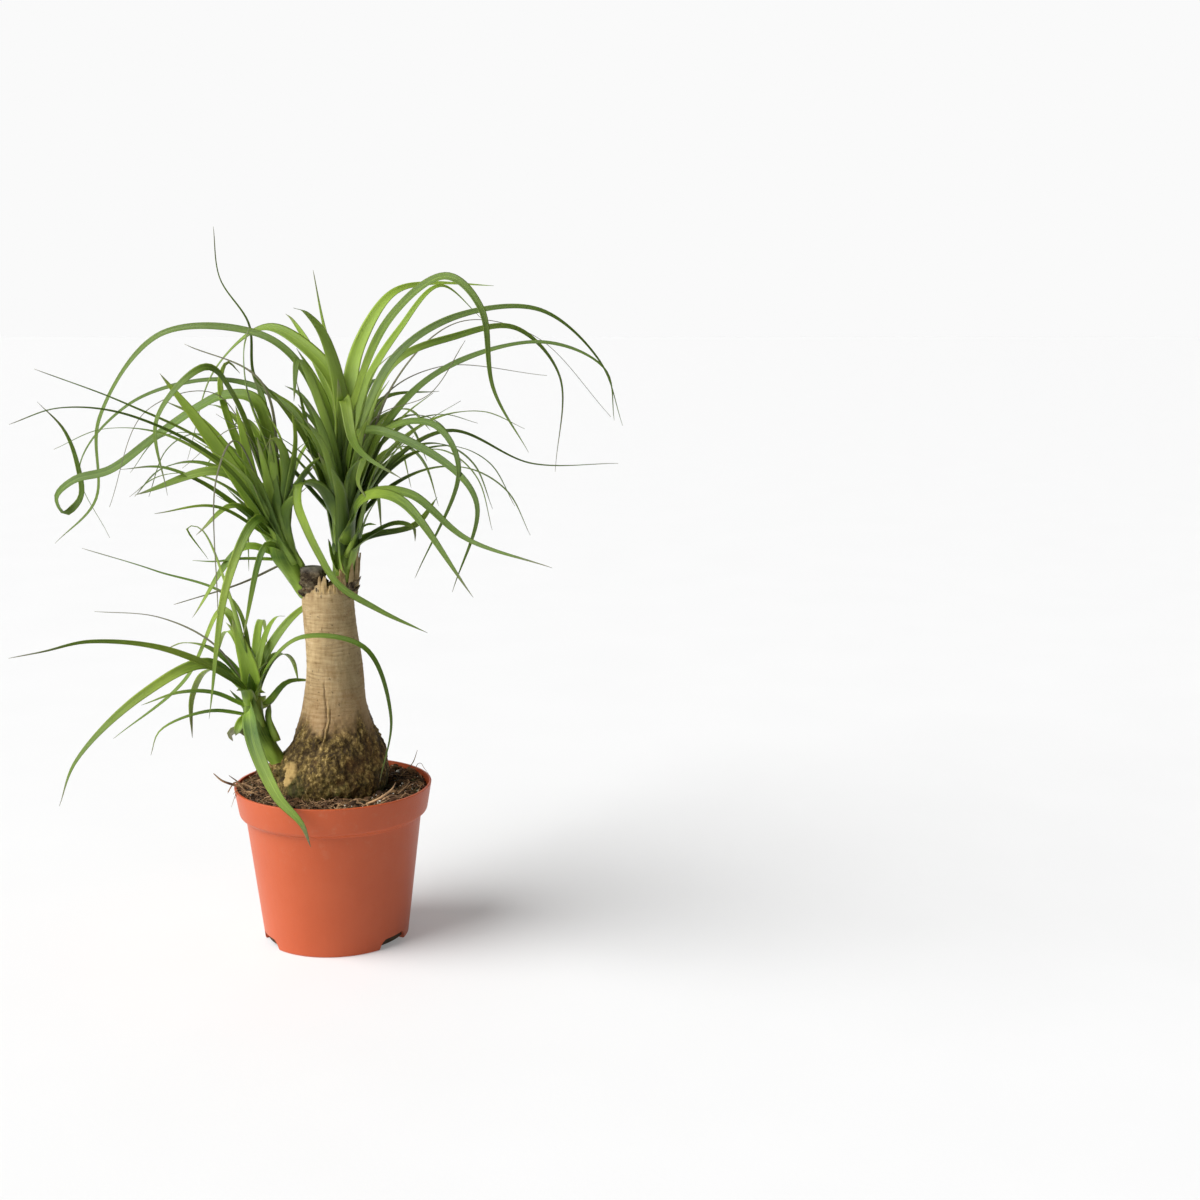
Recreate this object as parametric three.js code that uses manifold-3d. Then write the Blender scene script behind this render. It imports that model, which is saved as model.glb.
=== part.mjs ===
// A potted ponytail palm: a thin moulded nursery pot filled with soil, a woody trunk swollen into
// a caudex at its foot, two leafy shoots on its sawn top and a young offset at its side.
// Millimetres, +Z up. The origin is the middle of the pot's underside, and -Y is the front.

import * as THREE from 'three';
import { mergeVertices } from 'three/addons/utils/BufferGeometryUtils.js';
import Module from 'manifold-3d';

const wasm = await Module();
wasm.setup();

// Driving dimensions
const GAP = 0.35;              // clearance between pieces that touch
const FINEST = 0.01;           // edges shorter than this close up where pieces are joined
const POT_HEIGHT = 96.5;
const RIM_RADIUS = 60;
const FOOT_RADIUS = 44;
const POT_WALL = 1.2;
const POT_FLOOR = 1.4;
const BAND_HEIGHT = 16;        // the upright band below the rim
const BAND_TAPER = 2.6;        // how much narrower the band is at its lower edge
const SHOULDER_HEIGHT = 3;     // the rounded step from the band in to the wall
const SHOULDER_RADIUS = 53.4;
const POT_SIDES = 48;

const NOTCHES = 3;             // openings in the pot's foot, one of them at the back
const NOTCH_WIDTH = 25;
const NOTCH_HEIGHT = 6.2;
const NOTCH_SHOULDER = 4;      // how far each side of a notch slopes in
const CHANNEL_START = 25;      // a notch runs in under the floor to this radius
const DRAIN_RADIUS = 3.5;
const DRAIN_PLACE = 36;

const SOIL_LEVEL = 93;         // at the pot's wall
const SOIL_CROWN = 2.4;        // how much higher it stands round the caudex
const SOIL_HEAP = 3.2;         // the heap on the left
const SOIL_LUMP = 0.7;

const TRUNK_SIDES = 24;
const TRUNK_TOP = 217;
// Height, middle and radius of the trunk, from under the soil to below the saw cut
const TRUNK = [
  [70, 1, 14], [75, 1, 23], [83, 0, 31], [92, -1, 34.8], [101, -0.5, 35.4], [110, 0, 33.4],
  [119, 1.4, 29.6], [126, 1.7, 26], [133, 1.8, 23], [145, 2.4, 19.6], [160, 2.7, 17.7],
  [178, 1.8, 16.5], [197, 0.6, 15.7], [212, -0.4, 15.6],
];
// The saw cut, and the dry brown stub of the old stem that stands on it
const TRUNK_CUT = [[TRUNK_TOP, -0.4, 15.2], [TRUNK_TOP + 1, -2.5, 12.6], [TRUNK_TOP + 4, -9, 7.2],
  [TRUNK_TOP + 11, -10, 6.4], [TRUNK_TOP + 14, -10, 4]];

const SHOOT_SIDES = 8;
const BLADE_STEP = 17.5;       // length of leaf between two rings
const BLADE_TIP = 0.7;         // half the width of a leaf's cut-off tip
const BLADE_LAP = 0.4;         // how far each stretch of leaf reaches into the next
const TWIST_RUN = 0.2;         // share of a leaf's length over which it turns to its twist
const LONG_LEAF = 190;         // a leaf this long narrows all the way from its root
const SHORT_LEAF = 120;        // one this short keeps its width until near its tip
const KEEL = 0.8;              // least thickness of a blade at its middle

// Each shoot is a short stem through these [x, y, z, radius]
const LEFT_SHOOT = [[-11, -2, 212, 6], [-18, -3, 224, 7], [-26, -4, 238, 8], [-28.5, -4, 252, 7],
  [-29, -4, 268, 2.5]];
const RIGHT_SHOOT = [[9, 0, 214, 7], [10, 0, 226, 8], [11, 0, 242, 8.5], [11.5, 0, 258, 6.5],
  [12, 0, 276, 2.5]];
const OFFSET_SHOOT = [[-27, -4, 104, 6], [-38, -6, 120, 7], [-45, -8, 136, 6.5], [-46.5, -8, 150, 6],
  [-47, -8, 162, 2.5]];

// Leaves: width, twist towards the front in degrees, then the spine's points from root to tip
const LEFT_LEAVES = [
  [9, 40, [-28, -4, 253], [-31, -14, 299], [-40, -24, 335], [-38, -40, 361], [-31, -56, 374]],
  [8.5, 20, [-26, -4, 244], [-19, -12, 279], [-13, -22, 308], [-13, -32, 326]],
  [8.5, 20, [-26, -4, 253], [-20, -16, 287], [-21, -25, 305], [-25, -30, 310], [-30, -33, 303]],
  [11, 20, [-28, -4, 247], [-32, -12, 278], [-36, -20, 310]],
  [10, 30, [-29, -4, 247], [-46, -18, 282], [-67, -36, 321], [-82, -56, 348]],
  [9, 20, [-27, -6, 248], [-39, -14, 278], [-43, -24, 309], [-45, -34, 329]],
  [5, 40, [-28, -2, 250], [-52, -8, 296], [-70, -14, 320], [-89, -20, 331]],
  [8, 20, [-26, -4, 241], [-20, -4, 271], [-21, -2, 289], [-27, 2, 310], [-34, 6, 321]],
  [8, 20, [-28, 0, 253], [-38, 14, 306], [-42, 30, 329], [-52, 46, 347]],
  [7, 40, [-28, -2, 253], [-51, 8, 297], [-65, 18, 339], [-62, 28, 352], [-56, 34, 345]],
  [7.5, 40, [-28, -4, 253], [-48, -22, 332], [-59, -44, 351], [-83, -62, 323], [-77, -70, 281]],
  [4, 50, [-29, -4, 247], [-52, -34, 294], [-92, -76, 325], [-120, -116, 332], [-138, -142, 325]],
  [4.5, 40, [-29, -2, 253], [-59, -24, 302], [-103, -52, 331], [-146, -74, 351]],
  [8, 50, [-28, -2, 259], [-42, 10, 329], [-61, 14, 332], [-78, 18, 325], [-110, 24, 304],
    [-137, 28, 286], [-159, 30, 280], [-172, 34, 269], [-169, 38, 259], [-159, 40, 268],
    [-159, 36, 290], [-165, 32, 311], [-179, 28, 328]],
  [2.2, 10, [-28, -2, 259], [-58, -24, 335], [-95, -40, 326], [-116, -48, 272]],
  [2.2, 10, [-28, 0, 259], [-38, 10, 340], [-86, 20, 363]],
  [2.4, 10, [-27, -4, 253], [-46, -20, 315], [-77, -34, 293]],
  [2.4, 10, [-28, -4, 247], [-46, -34, 309], [-54, -50, 288], [-55, -54, 211]],
  [9, 50, [-28, -2, 250], [-58, -10, 288], [-109, -20, 276]],
  [3.5, 40, [-28, -4, 244], [-56, -40, 271], [-82, -80, 272]],
  [3.5, 20, [-28, -2, 241], [-68, -10, 278], [-116, -20, 292]],
  [7, 40, [-28, -4, 244], [-50, -24, 270], [-69, -40, 255]],
  [9, 45, [-27, -4, 240], [-36, -24, 262], [-50, -46, 230], [-61, -60, 151]],
  [6.5, 40, [-25, -4, 238], [-33, -18, 246], [-48, -24, 190]],
  [8, 40, [-26, -4, 236], [-47, -12, 244], [-78, -20, 203]],
  [2, 50, [-25, -2, 234], [-55, 10, 219], [-99, 20, 204]],
  [3, 30, [-26, -4, 235], [-50, -12, 237], [-64, -16, 236], [-77, -18, 237]],
];
const RIGHT_LEAVES = [
  [6, 55, [11, 0, 247], [2, 8, 306], [-16, 16, 350], [-43, 26, 369], [-106, 40, 368], [-148, 50, 316],
    [-154, 54, 265], [-180, 50, 238]],
  [13, 30, [10, 0, 259], [8, 12, 333], [-18, 26, 364], [-42, 40, 372], [-76, 54, 346], [-97, 62, 290]],
  [4.5, 20, [10, 2, 259], [-17, 14, 322], [-45, 26, 342], [-51, 40, 375], [-70, 50, 403],
    [-74, 56, 434]],
  [13, 20, [10, 0, 259], [12, -10, 331], [6, -24, 366], [0, -50, 381], [-3, -74, 384]],
  [12, 20, [10, 4, 258], [4, 30, 317], [-17, 60, 359], [-33, 90, 377], [-41, 110, 381]],
  [4, 10, [11, 2, 265], [9, 10, 335], [-2, 20, 375], [-9, 30, 407]],
  [12, 30, [12, 0, 265], [13, 20, 338], [18, 40, 365], [34, 64, 393], [55, 90, 400], [95, 110, 399]],
  [12, 50, [12, 0, 265], [19, -14, 322], [45, -34, 378], [79, -60, 401], [100, -84, 383],
    [107, -98, 341], [126, -108, 308]],
  [8, 30, [12, 4, 271], [17, 36, 329], [37, 76, 371], [61, 104, 399], [87, 124, 377]],
  [8.5, 50, [12, 0, 265], [24, 6, 321], [44, 14, 358], [80, 24, 380], [128, 32, 383], [164, 36, 352],
    [178, 36, 313]],
  [9, 50, [13, 2, 259], [37, 20, 348], [75, 44, 367], [111, 66, 372], [138, 80, 342], [135, 86, 280]],
  [2.4, 20, [13, 2, 259], [40, 26, 341], [77, 54, 376], [124, 84, 366], [171, 96, 315]],
  [8.5, 50, [13, 0, 253], [35, -10, 311], [72, -26, 348], [132, -44, 365], [167, -56, 350],
    [172, -60, 322]],
  [2.2, 10, [12, 2, 253], [30, 16, 327], [66, 36, 349], [131, 54, 343]],
  [2.2, 10, [13, 0, 253], [31, -16, 319], [67, -34, 336], [88, -44, 366]],
  [8, 50, [13, -2, 250], [38, -26, 312], [71, -54, 319], [86, -76, 295], [62, -88, 237]],
  [12, 50, [12, -2, 253], [24, -26, 312], [70, -60, 303], [97, -92, 278], [85, -116, 234]],
  [5, 40, [13, 2, 247], [34, 20, 288], [70, 50, 309], [120, 80, 286], [176, 104, 284]],
  [11, 45, [13, -2, 244], [27, -30, 275], [58, -66, 281], [92, -104, 261], [139, -136, 250]],
  [13, 45, [12, -2, 240], [27, -40, 274], [56, -88, 279], [98, -140, 235]],
  [8, 30, [12, 0, 238], [21, 20, 245], [46, 60, 248], [57, 100, 262]],
  [6, 20, [12, 0, 253], [14, 30, 305], [29, 60, 329], [61, 84, 332]],
  [10, 35, [11, -2, 271], [16, -24, 332], [24, -50, 311], [34, -72, 303], [57, -92, 292]],
  [11, 20, [10, -2, 259], [6, -16, 306], [-4, -36, 350], [-5, -56, 355], [-5, -70, 333]],
  [9, 20, [10, -4, 253], [7, -20, 291], [2, -40, 323], [-2, -56, 334]],
  [10, 20, [10, 0, 247], [0, -2, 274], [-7, -2, 298], [-13, 0, 328], [-16, 2, 342]],
  [8, 20, [10, 4, 249], [1, 14, 288], [-6, 24, 311], [-20, 36, 332], [-31, 46, 337]],
  [5, 50, [9, 2, 253], [-24, 28, 322], [-71, 58, 340], [-137, 80, 324], [-175, 92, 281],
    [-158, 94, 236]],
  [11, 20, [12, -6, 245], [6, -14, 267], [-1, -20, 280], [-9, -27, 283], [-9, -34, 273],
    [-3, -39, 261], [5, -42, 245], [17, -46, 225], [39, -54, 214], [66, -64, 202]],
  [7, 30, [13, -4, 235], [25, -14, 249], [45, -26, 260], [56, -34, 258], [57, -38, 251]],
  [6, 30, [13, -6, 236], [22, -20, 254], [29, -32, 260], [35, -40, 261]],
  [6, 30, [11, -6, 260], [19, -24, 291], [28, -36, 298], [25, -40, 286], [31, -46, 276]],
  [8, 0, [9, -3, 226], [5, -11, 240], [3, -16, 251]],
  [6, 0, [11, -5, 222], [11, -13, 237], [10, -19, 252]],
  [7, 0, [13, -4, 224], [19, -11, 235], [24, -15, 246]],
];
const OFFSET_LEAVES = [
  [14, 30, [-46, -8, 148], [-46, -14, 172], [-50, -20, 189], [-54, -24, 204]],
  [11, 20, [-46, -8, 148], [-50, -4, 174], [-58, 0, 191], [-63, 2, 196]],
  [8, 30, [-46, -5, 148], [-42, 4, 179], [-40, 14, 195]],
  [7, 50, [-46, -6, 150], [-55, 4, 185], [-67, 12, 202], [-92, 14, 158], [-139, 16, 120]],
  [6, 50, [-46, -8, 147], [-53, -26, 166], [-86, -52, 190], [-121, -80, 200], [-140, -104, 199],
    [-156, -112, 197]],
  [9, 50, [-46, -8, 147], [-68, -26, 176], [-101, -50, 163], [-135, -72, 129], [-142, -84, 106]],
  [3.2, 50, [-46, -8, 143], [-68, -14, 156], [-87, -22, 158], [-108, -30, 152]],
  [3, 40, [-47, -8, 140], [-70, -20, 146], [-97, -32, 137], [-102, -36, 123]],
  [1.6, 20, [-46, -6, 150], [-71, 6, 181], [-108, 20, 196], [-151, 30, 198]],
  [3, 20, [-46, -4, 149], [-61, 16, 206], [-113, 34, 223], [-163, 50, 235]],
  [6, 30, [-46, -6, 150], [-54, -26, 215], [-68, -34, 258], [-75, -36, 259], [-64, -34, 240]],
  [12, 85, [-45, -9, 150], [-45, -24, 146], [-40, -38, 131], [-23, -58, 104], [-8, -67, 90], [-3, -69, 77]],
  [7.5, 40, [-45, -4, 148], [-44, 10, 168], [-28, 22, 194], [-5, 34, 211]],
  [4.5, 30, [-45, -8, 146], [-33, -26, 174], [-10, -36, 194], [27, -40, 188], [41, -40, 148],
    [33, -34, 106]],
  [7.5, 40, [-44, -6, 142], [-39, 8, 145], [-30, 20, 155], [-14, 26, 155]],
  [9, 30, [-47, -8, 143], [-46, -30, 161], [-48, -44, 164]],
  [6, 30, [-48, -10, 139], [-51, -18, 139], [-54, -24, 132]],
];
// Leaves of each rosette's far side, placed by rule: headings in degrees from +X towards +Y
const LEFT_FILL = { seed: 11, count: 11, root: [-28, -2, 246], heading: 134, spread: 36, reach: 160 };
const RIGHT_FILL = { seed: 23, count: 18, root: [11.5, 2, 250], heading: 74, spread: 40, reach: 175 };
const OFFSET_FILL = { seed: 41, count: 6, root: [-46, -6, 146], heading: 120, spread: 46, reach: 110 };

const TERRACOTTA = { color: 0xc8592f, roughness: 0.45, metalness: 0 };
const PEAT = { color: 0x33241a, roughness: 0.95, metalness: 0 };
const BARK = { color: 0xb08f62, roughness: 0.85, metalness: 0 };
const LEAF = { color: 0x4f8a2c, roughness: 0.45, metalness: 0 };
const YOUNG_LEAF = { color: 0x6aa531, roughness: 0.45, metalness: 0 };

// A closed solid through rings of points, each anticlockwise seen from the last ring's side
function loft(rings) {
  const sides = rings[0].length;
  const last = (rings.length - 1) * sides;
  const index = [];
  for (let start = 0; start < last; start += sides) {
    for (let s = 0; s < sides; s++) {
      const a = start + s;
      const b = start + (s + 1) % sides;
      index.push(a, b, b + sides, a, b + sides, a + sides);
    }
  }
  for (let s = 1; s + 1 < sides; s++) {
    index.push(0, s + 1, s, last, last + s, last + s + 1);
  }
  const geometry = new THREE.BufferGeometry().setFromPoints(rings.flat());
  return geometry.setIndex(index);
}

// A level ring of points round (x, y), with an optional height or radius that depends on the angle
function ring(radius, z, sides, x = 0, y = 0, shape = () => [1, 0]) {
  return Array.from({ length: sides }, (_, s) => {
    const angle = (2 * Math.PI * s) / sides;
    const [stretch, lift] = shape(angle);
    const r = radius * stretch;
    return new THREE.Vector3(x + r * Math.cos(angle), y + r * Math.sin(angle), z + lift);
  });
}

// Merges shared vertices, drops collapsed triangles and makes a solid for joining and cutting
function solid(geometry) {
  const plain = geometry.clone();
  plain.deleteAttribute('normal');
  plain.deleteAttribute('uv');
  const merged = mergeVertices(plain, 1e-4);
  const corners = merged.index.array;
  const kept = [];
  for (let i = 0; i < corners.length; i += 3) {
    const [a, b, c] = corners.slice(i, i + 3);
    if (a !== b && b !== c && c !== a) kept.push(a, b, c);
  }
  return new wasm.Manifold(new wasm.Mesh({
    numProp: 3,
    vertProperties: new Float32Array(merged.attributes.position.array),
    triVerts: new Uint32Array(kept),
  }));
}

// The outer body of a join: what floats loose, is sealed inside or is finer than `FINEST` is left out
function mainBody(joined) {
  const pieces = joined.simplify(FINEST).decompose();
  return pieces.reduce((best, piece) => (piece.volume() > best.volume() ? piece : best));
}

function mesh(name, body, look) {
  const { vertProperties, triVerts } = body.getMesh();
  const geometry = new THREE.BufferGeometry();
  geometry.setAttribute('position', new THREE.BufferAttribute(vertProperties, 3));
  geometry.setIndex(new THREE.BufferAttribute(triVerts, 1));
  geometry.computeVertexNormals();
  const made = new THREE.Mesh(geometry, new THREE.MeshStandardMaterial(look));
  made.name = name;
  return made;
}

// --- Pot -------------------------------------------------------------------------------------

// The pot's outline as [radius, height], moved inwards by `inset`, from `floor` up to `top`
function potOutline(inset, floor, top) {
  const band = POT_HEIGHT - BAND_HEIGHT;
  const step = band - SHOULDER_HEIGHT;
  const bandFoot = RIM_RADIUS - BAND_TAPER;
  return [
    [FOOT_RADIUS - 0.8 - inset, floor],
    [FOOT_RADIUS - inset, floor + 0.8],
    [SHOULDER_RADIUS - inset, step],
    [SHOULDER_RADIUS + 2.2 - inset, step + 0.5],
    [bandFoot - 0.4 - inset, band - 0.9],
    [bandFoot - inset, band + 0.4],
    [RIM_RADIUS - inset, top - 0.6],
    [RIM_RADIUS - 0.5 - inset, top],
  ];
}

function turned(outline) {
  return solid(loft(outline.map(([radius, z]) => ring(radius, z, POT_SIDES))));
}

// The notches in the foot, each with its channel under the floor, made larger by `grow`
function channels(grow) {
  const half = NOTCH_WIDTH / 2 + grow;
  const outline = new THREE.Shape([
    new THREE.Vector2(-half, -1),
    new THREE.Vector2(half, -1),
    new THREE.Vector2(half - NOTCH_SHOULDER * 0.3, NOTCH_HEIGHT * 0.55 + grow),
    new THREE.Vector2(half - NOTCH_SHOULDER, NOTCH_HEIGHT + grow),
    new THREE.Vector2(NOTCH_SHOULDER - half, NOTCH_HEIGHT + grow),
    new THREE.Vector2(NOTCH_SHOULDER * 0.3 - half, NOTCH_HEIGHT * 0.55 + grow),
  ]);
  const length = FOOT_RADIUS + 8 - CHANNEL_START + grow;
  const bodies = [];
  for (let n = 0; n < NOTCHES; n++) {
    const channel = new THREE.ExtrudeGeometry(outline, { depth: length, bevelEnabled: false });
    channel.translate(0, 0, CHANNEL_START - grow);
    channel.rotateX(Math.PI / 2);
    channel.scale(-1, -1, 1);
    channel.rotateZ((2 * Math.PI * n) / NOTCHES);
    bodies.push(solid(channel));
  }
  return bodies.reduce((all, body) => all.add(body));
}

function drains() {
  const bodies = [];
  for (let n = 0; n < NOTCHES; n++) {
    const drain = new THREE.CylinderGeometry(DRAIN_RADIUS, DRAIN_RADIUS, 3 * NOTCH_HEIGHT, 16);
    drain.rotateX(Math.PI / 2);
    drain.translate(0, DRAIN_PLACE, 0);
    drain.rotateZ((2 * Math.PI * n) / NOTCHES);
    bodies.push(solid(drain));
  }
  return bodies.reduce((all, body) => all.add(body));
}

function pot() {
  const outside = turned(potOutline(0, 0, POT_HEIGHT)).subtract(channels(0));
  const inside = turned(potOutline(POT_WALL, POT_FLOOR, POT_HEIGHT + 0.6)).subtract(channels(POT_WALL));
  return outside.subtract(inside).subtract(drains());
}

// --- Soil ------------------------------------------------------------------------------------

function soilTop(x, y) {
  const out = Math.hypot(x, y) / RIM_RADIUS;
  const left = Math.max(0, -x) / RIM_RADIUS;
  const lumps = Math.sin(x * 0.31 + 1) * Math.sin(y * 0.27) + Math.sin((x + y) * 0.17);
  return SOIL_LEVEL + SOIL_CROWN * (1 - out) + SOIL_HEAP * left * left * (1.6 - out) + SOIL_LUMP * lumps;
}

function soil(trunkHole) {
  const inset = POT_WALL + GAP;
  const under = potOutline(inset, POT_FLOOR + GAP, POT_HEIGHT).slice(0, -2);
  const rings = under.map(([radius, z]) => ring(radius, z, POT_SIDES));
  const edge = RIM_RADIUS - inset - 0.6;
  for (const share of [1, 0.93, 0.82, 0.68]) {
    const points = ring(edge * share, 0, POT_SIDES);
    for (const point of points) point.z = soilTop(point.x, point.y) - (share === 1 ? 1 : 0);
    rings.push(points);
  }
  return mainBody(solid(loft(rings)).subtract(channels(inset)).subtract(trunkHole));
}

// --- Trunk -----------------------------------------------------------------------------------

// Trunk and caudex as one woody body, made larger all round by `grow`
function trunk(grow) {
  const rings = [...TRUNK, ...TRUNK_CUT].map(([z, x, radius], level, all) => {
    const swell = z < 130 ? 0.035 : 0.018;
    const end = level === 0 ? -grow : level >= TRUNK.length ? grow : 0;
    const bark = (angle) => [
      1 + swell * (Math.sin(3 * angle + z / 9) + 0.6 * Math.sin(5 * angle - z / 7)),
      level >= all.length - 4 ? 0.8 * Math.sin(3 * angle + 1) : 0,
    ];
    return ring(radius + grow, z + end, TRUNK_SIDES, x, 0, bark);
  });
  return solid(loft(rings));
}

// --- Leaves ----------------------------------------------------------------------------------

// Numbers from 0 to 1 in a fixed order
function draws(seed) {
  let state = seed;
  return () => {
    state = (state * 16807) % 2147483647;
    return state / 2147483647;
  };
}

// Arching leaves that share a rosette's far side evenly, written like the rows above
function fillLeaves({ seed, count, root, heading, spread, reach }) {
  const draw = draws(seed);
  return Array.from({ length: count }, (_, n) => {
    const share = (n * 0.618) % 1;
    const turn = THREE.MathUtils.degToRad(heading + spread * (2 * share - 1));
    const length = reach * (0.75 + 0.4 * draw());
    const rise = 1.45 - 0.8 * draw();
    const droop = 1.5 + 1.1 * draw();
    const width = 4.5 + 4.5 * draw();
    const points = [root];
    for (let k = 0; k < 5; k++) {
      const slope = rise - droop * ((k + 0.5) / 5) ** 1.3;
      const [x, y, z] = points[k];
      const out = (length / 5) * Math.cos(slope);
      points.push([x + out * Math.cos(turn), y + out * Math.sin(turn), z + (length / 5) * Math.sin(slope)]);
    }
    return [width, 0, ...points];
  });
}

// A strap leaf: a three-sided ribbon, flat above and keeled below, that narrows to its tip. Each
// stretch between two rings is a convex piece with a blunt point inside the next one, so that a
// sharp fold doesn't turn the leaf inside out.
function leaf([width, twist, ...points]) {
  const spine = new THREE.CatmullRomCurve3(
    points.map((p) => new THREE.Vector3(...p)), false, 'centripetal');
  const length = spine.getLength();
  const steps = THREE.MathUtils.clamp(Math.round(length / BLADE_STEP), 5, 15);
  const fullness = 1 + 1.4 * (1 - THREE.MathUtils.smoothstep(length, SHORT_LEAF, LONG_LEAF));
  const front = new THREE.Vector3(0, -1, 0);
  const turn = THREE.MathUtils.degToRad(twist);
  const way = spine.getPointAt(0.5).sub(spine.getPointAt(0)).setZ(0).normalize();
  const upper = way.negate();
  const rings = [];
  for (let i = 0; i <= steps; i++) {
    const u = i / steps;
    const at = spine.getPointAt(u);
    const along = spine.getTangentAt(u);
    upper.projectOnPlane(along).normalize();
    const towards = front.clone().projectOnPlane(along).normalize();
    const share = Math.min(1, u / TWIST_RUN) * turn;
    const face = upper.clone().multiplyScalar(Math.cos(share)).addScaledVector(towards, Math.sin(share));
    face.normalize();
    const side = face.clone().cross(along);
    const half = Math.max(BLADE_TIP, (width / 2) * (1 - u ** fullness) ** 0.85);
    const keel = Math.max(KEEL, 0.13 * width * (1 - u));
    rings.push([
      at.clone().addScaledVector(face, -keel).toArray(),
      at.clone().addScaledVector(side, half).toArray(),
      at.clone().addScaledVector(side, -half).toArray(),
      at.clone().addScaledVector(face, -keel / 3).addScaledVector(along, BLADE_LAP).toArray(),
    ]);
  }
  const stretches = rings.slice(1).map((points, i) => (
    wasm.Manifold.hull([...rings[i].slice(0, 3), ...points])));
  return wasm.Manifold.union(stretches);
}

function shoot(stem) {
  return solid(loft(stem.map(([x, y, z, radius]) => ring(radius, z, SHOOT_SIDES, x, y))));
}

// A shoot with its rosette as one body, cut clear of the trunk it stands on
function head(stem, leaves, fill, clearOf) {
  const blades = [...leaves, ...fillLeaves(fill)].map(leaf);
  return mainBody(blades.reduce((all, blade) => all.add(blade), shoot(stem)).subtract(clearOf));
}

const grownTrunk = trunk(GAP);
const palm = new THREE.Group();
palm.add(
  mesh('pot', pot(), TERRACOTTA),
  mesh('soil', soil(grownTrunk), PEAT),
  mesh('trunk', trunk(0), BARK),
  mesh('left_head', head(LEFT_SHOOT, LEFT_LEAVES, LEFT_FILL, grownTrunk), YOUNG_LEAF),
  mesh('right_head', head(RIGHT_SHOOT, RIGHT_LEAVES, RIGHT_FILL, grownTrunk), LEAF),
  mesh('offset_head', head(OFFSET_SHOOT, OFFSET_LEAVES, OFFSET_FILL, grownTrunk), YOUNG_LEAF),
);

export default palm;
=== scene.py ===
"""A potted ponytail palm with two shoots and an offset. Metres, +Z up, and -Y is the front."""
import math
import bmesh
import bpy
import numpy as np
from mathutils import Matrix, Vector, noise


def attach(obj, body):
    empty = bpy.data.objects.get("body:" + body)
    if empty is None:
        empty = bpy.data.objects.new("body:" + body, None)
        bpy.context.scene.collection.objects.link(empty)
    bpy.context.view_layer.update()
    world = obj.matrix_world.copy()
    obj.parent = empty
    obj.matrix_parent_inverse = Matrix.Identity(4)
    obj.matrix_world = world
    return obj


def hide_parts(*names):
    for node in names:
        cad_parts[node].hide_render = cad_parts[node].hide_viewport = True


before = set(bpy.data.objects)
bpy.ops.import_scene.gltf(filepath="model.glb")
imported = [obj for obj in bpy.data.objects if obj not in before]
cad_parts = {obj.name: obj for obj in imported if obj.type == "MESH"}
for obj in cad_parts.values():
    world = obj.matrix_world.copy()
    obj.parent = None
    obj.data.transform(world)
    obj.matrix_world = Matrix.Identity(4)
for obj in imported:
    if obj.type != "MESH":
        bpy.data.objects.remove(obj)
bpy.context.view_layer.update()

# The studio: a pale floor that runs into a pale surrounding, and one very large diffuser at the
# upper left in front. The camera is a short way above the soil and looks down a little; the
# object stands left of the middle of its square frame.
MM = 0.001
SENSOR = 36
LENS = 51
CAMERA_PLACE = (0.164, -1.0137, 0.3799)
CAMERA_TILT = 9.5
LIGHT_HEADING = 66             # degrees from the camera's side towards the left
LIGHT_RISE = 42
LIGHT_SPREAD = 55
LIGHT_POWER = 4.8
HORIZON_GLOW = 0.956
SKY_GLOW_LEFT = 0.3
SKY_GLOW_RIGHT = 0.08
BACKDROP_FADE = (0.2, 0.7)     # how far towards the back the glow behind the object starts
HORIZON_FADE = (0.19, 0.34)    # and how far up it ends
SIDE_FADE = (-0.8, 0.6)        # from the lit left to the darker right
FLOOR_GLOW = 0.2               # a painted glow of the paper, which lightens the shadows on it
FLOOR_REACH = 30


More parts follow.
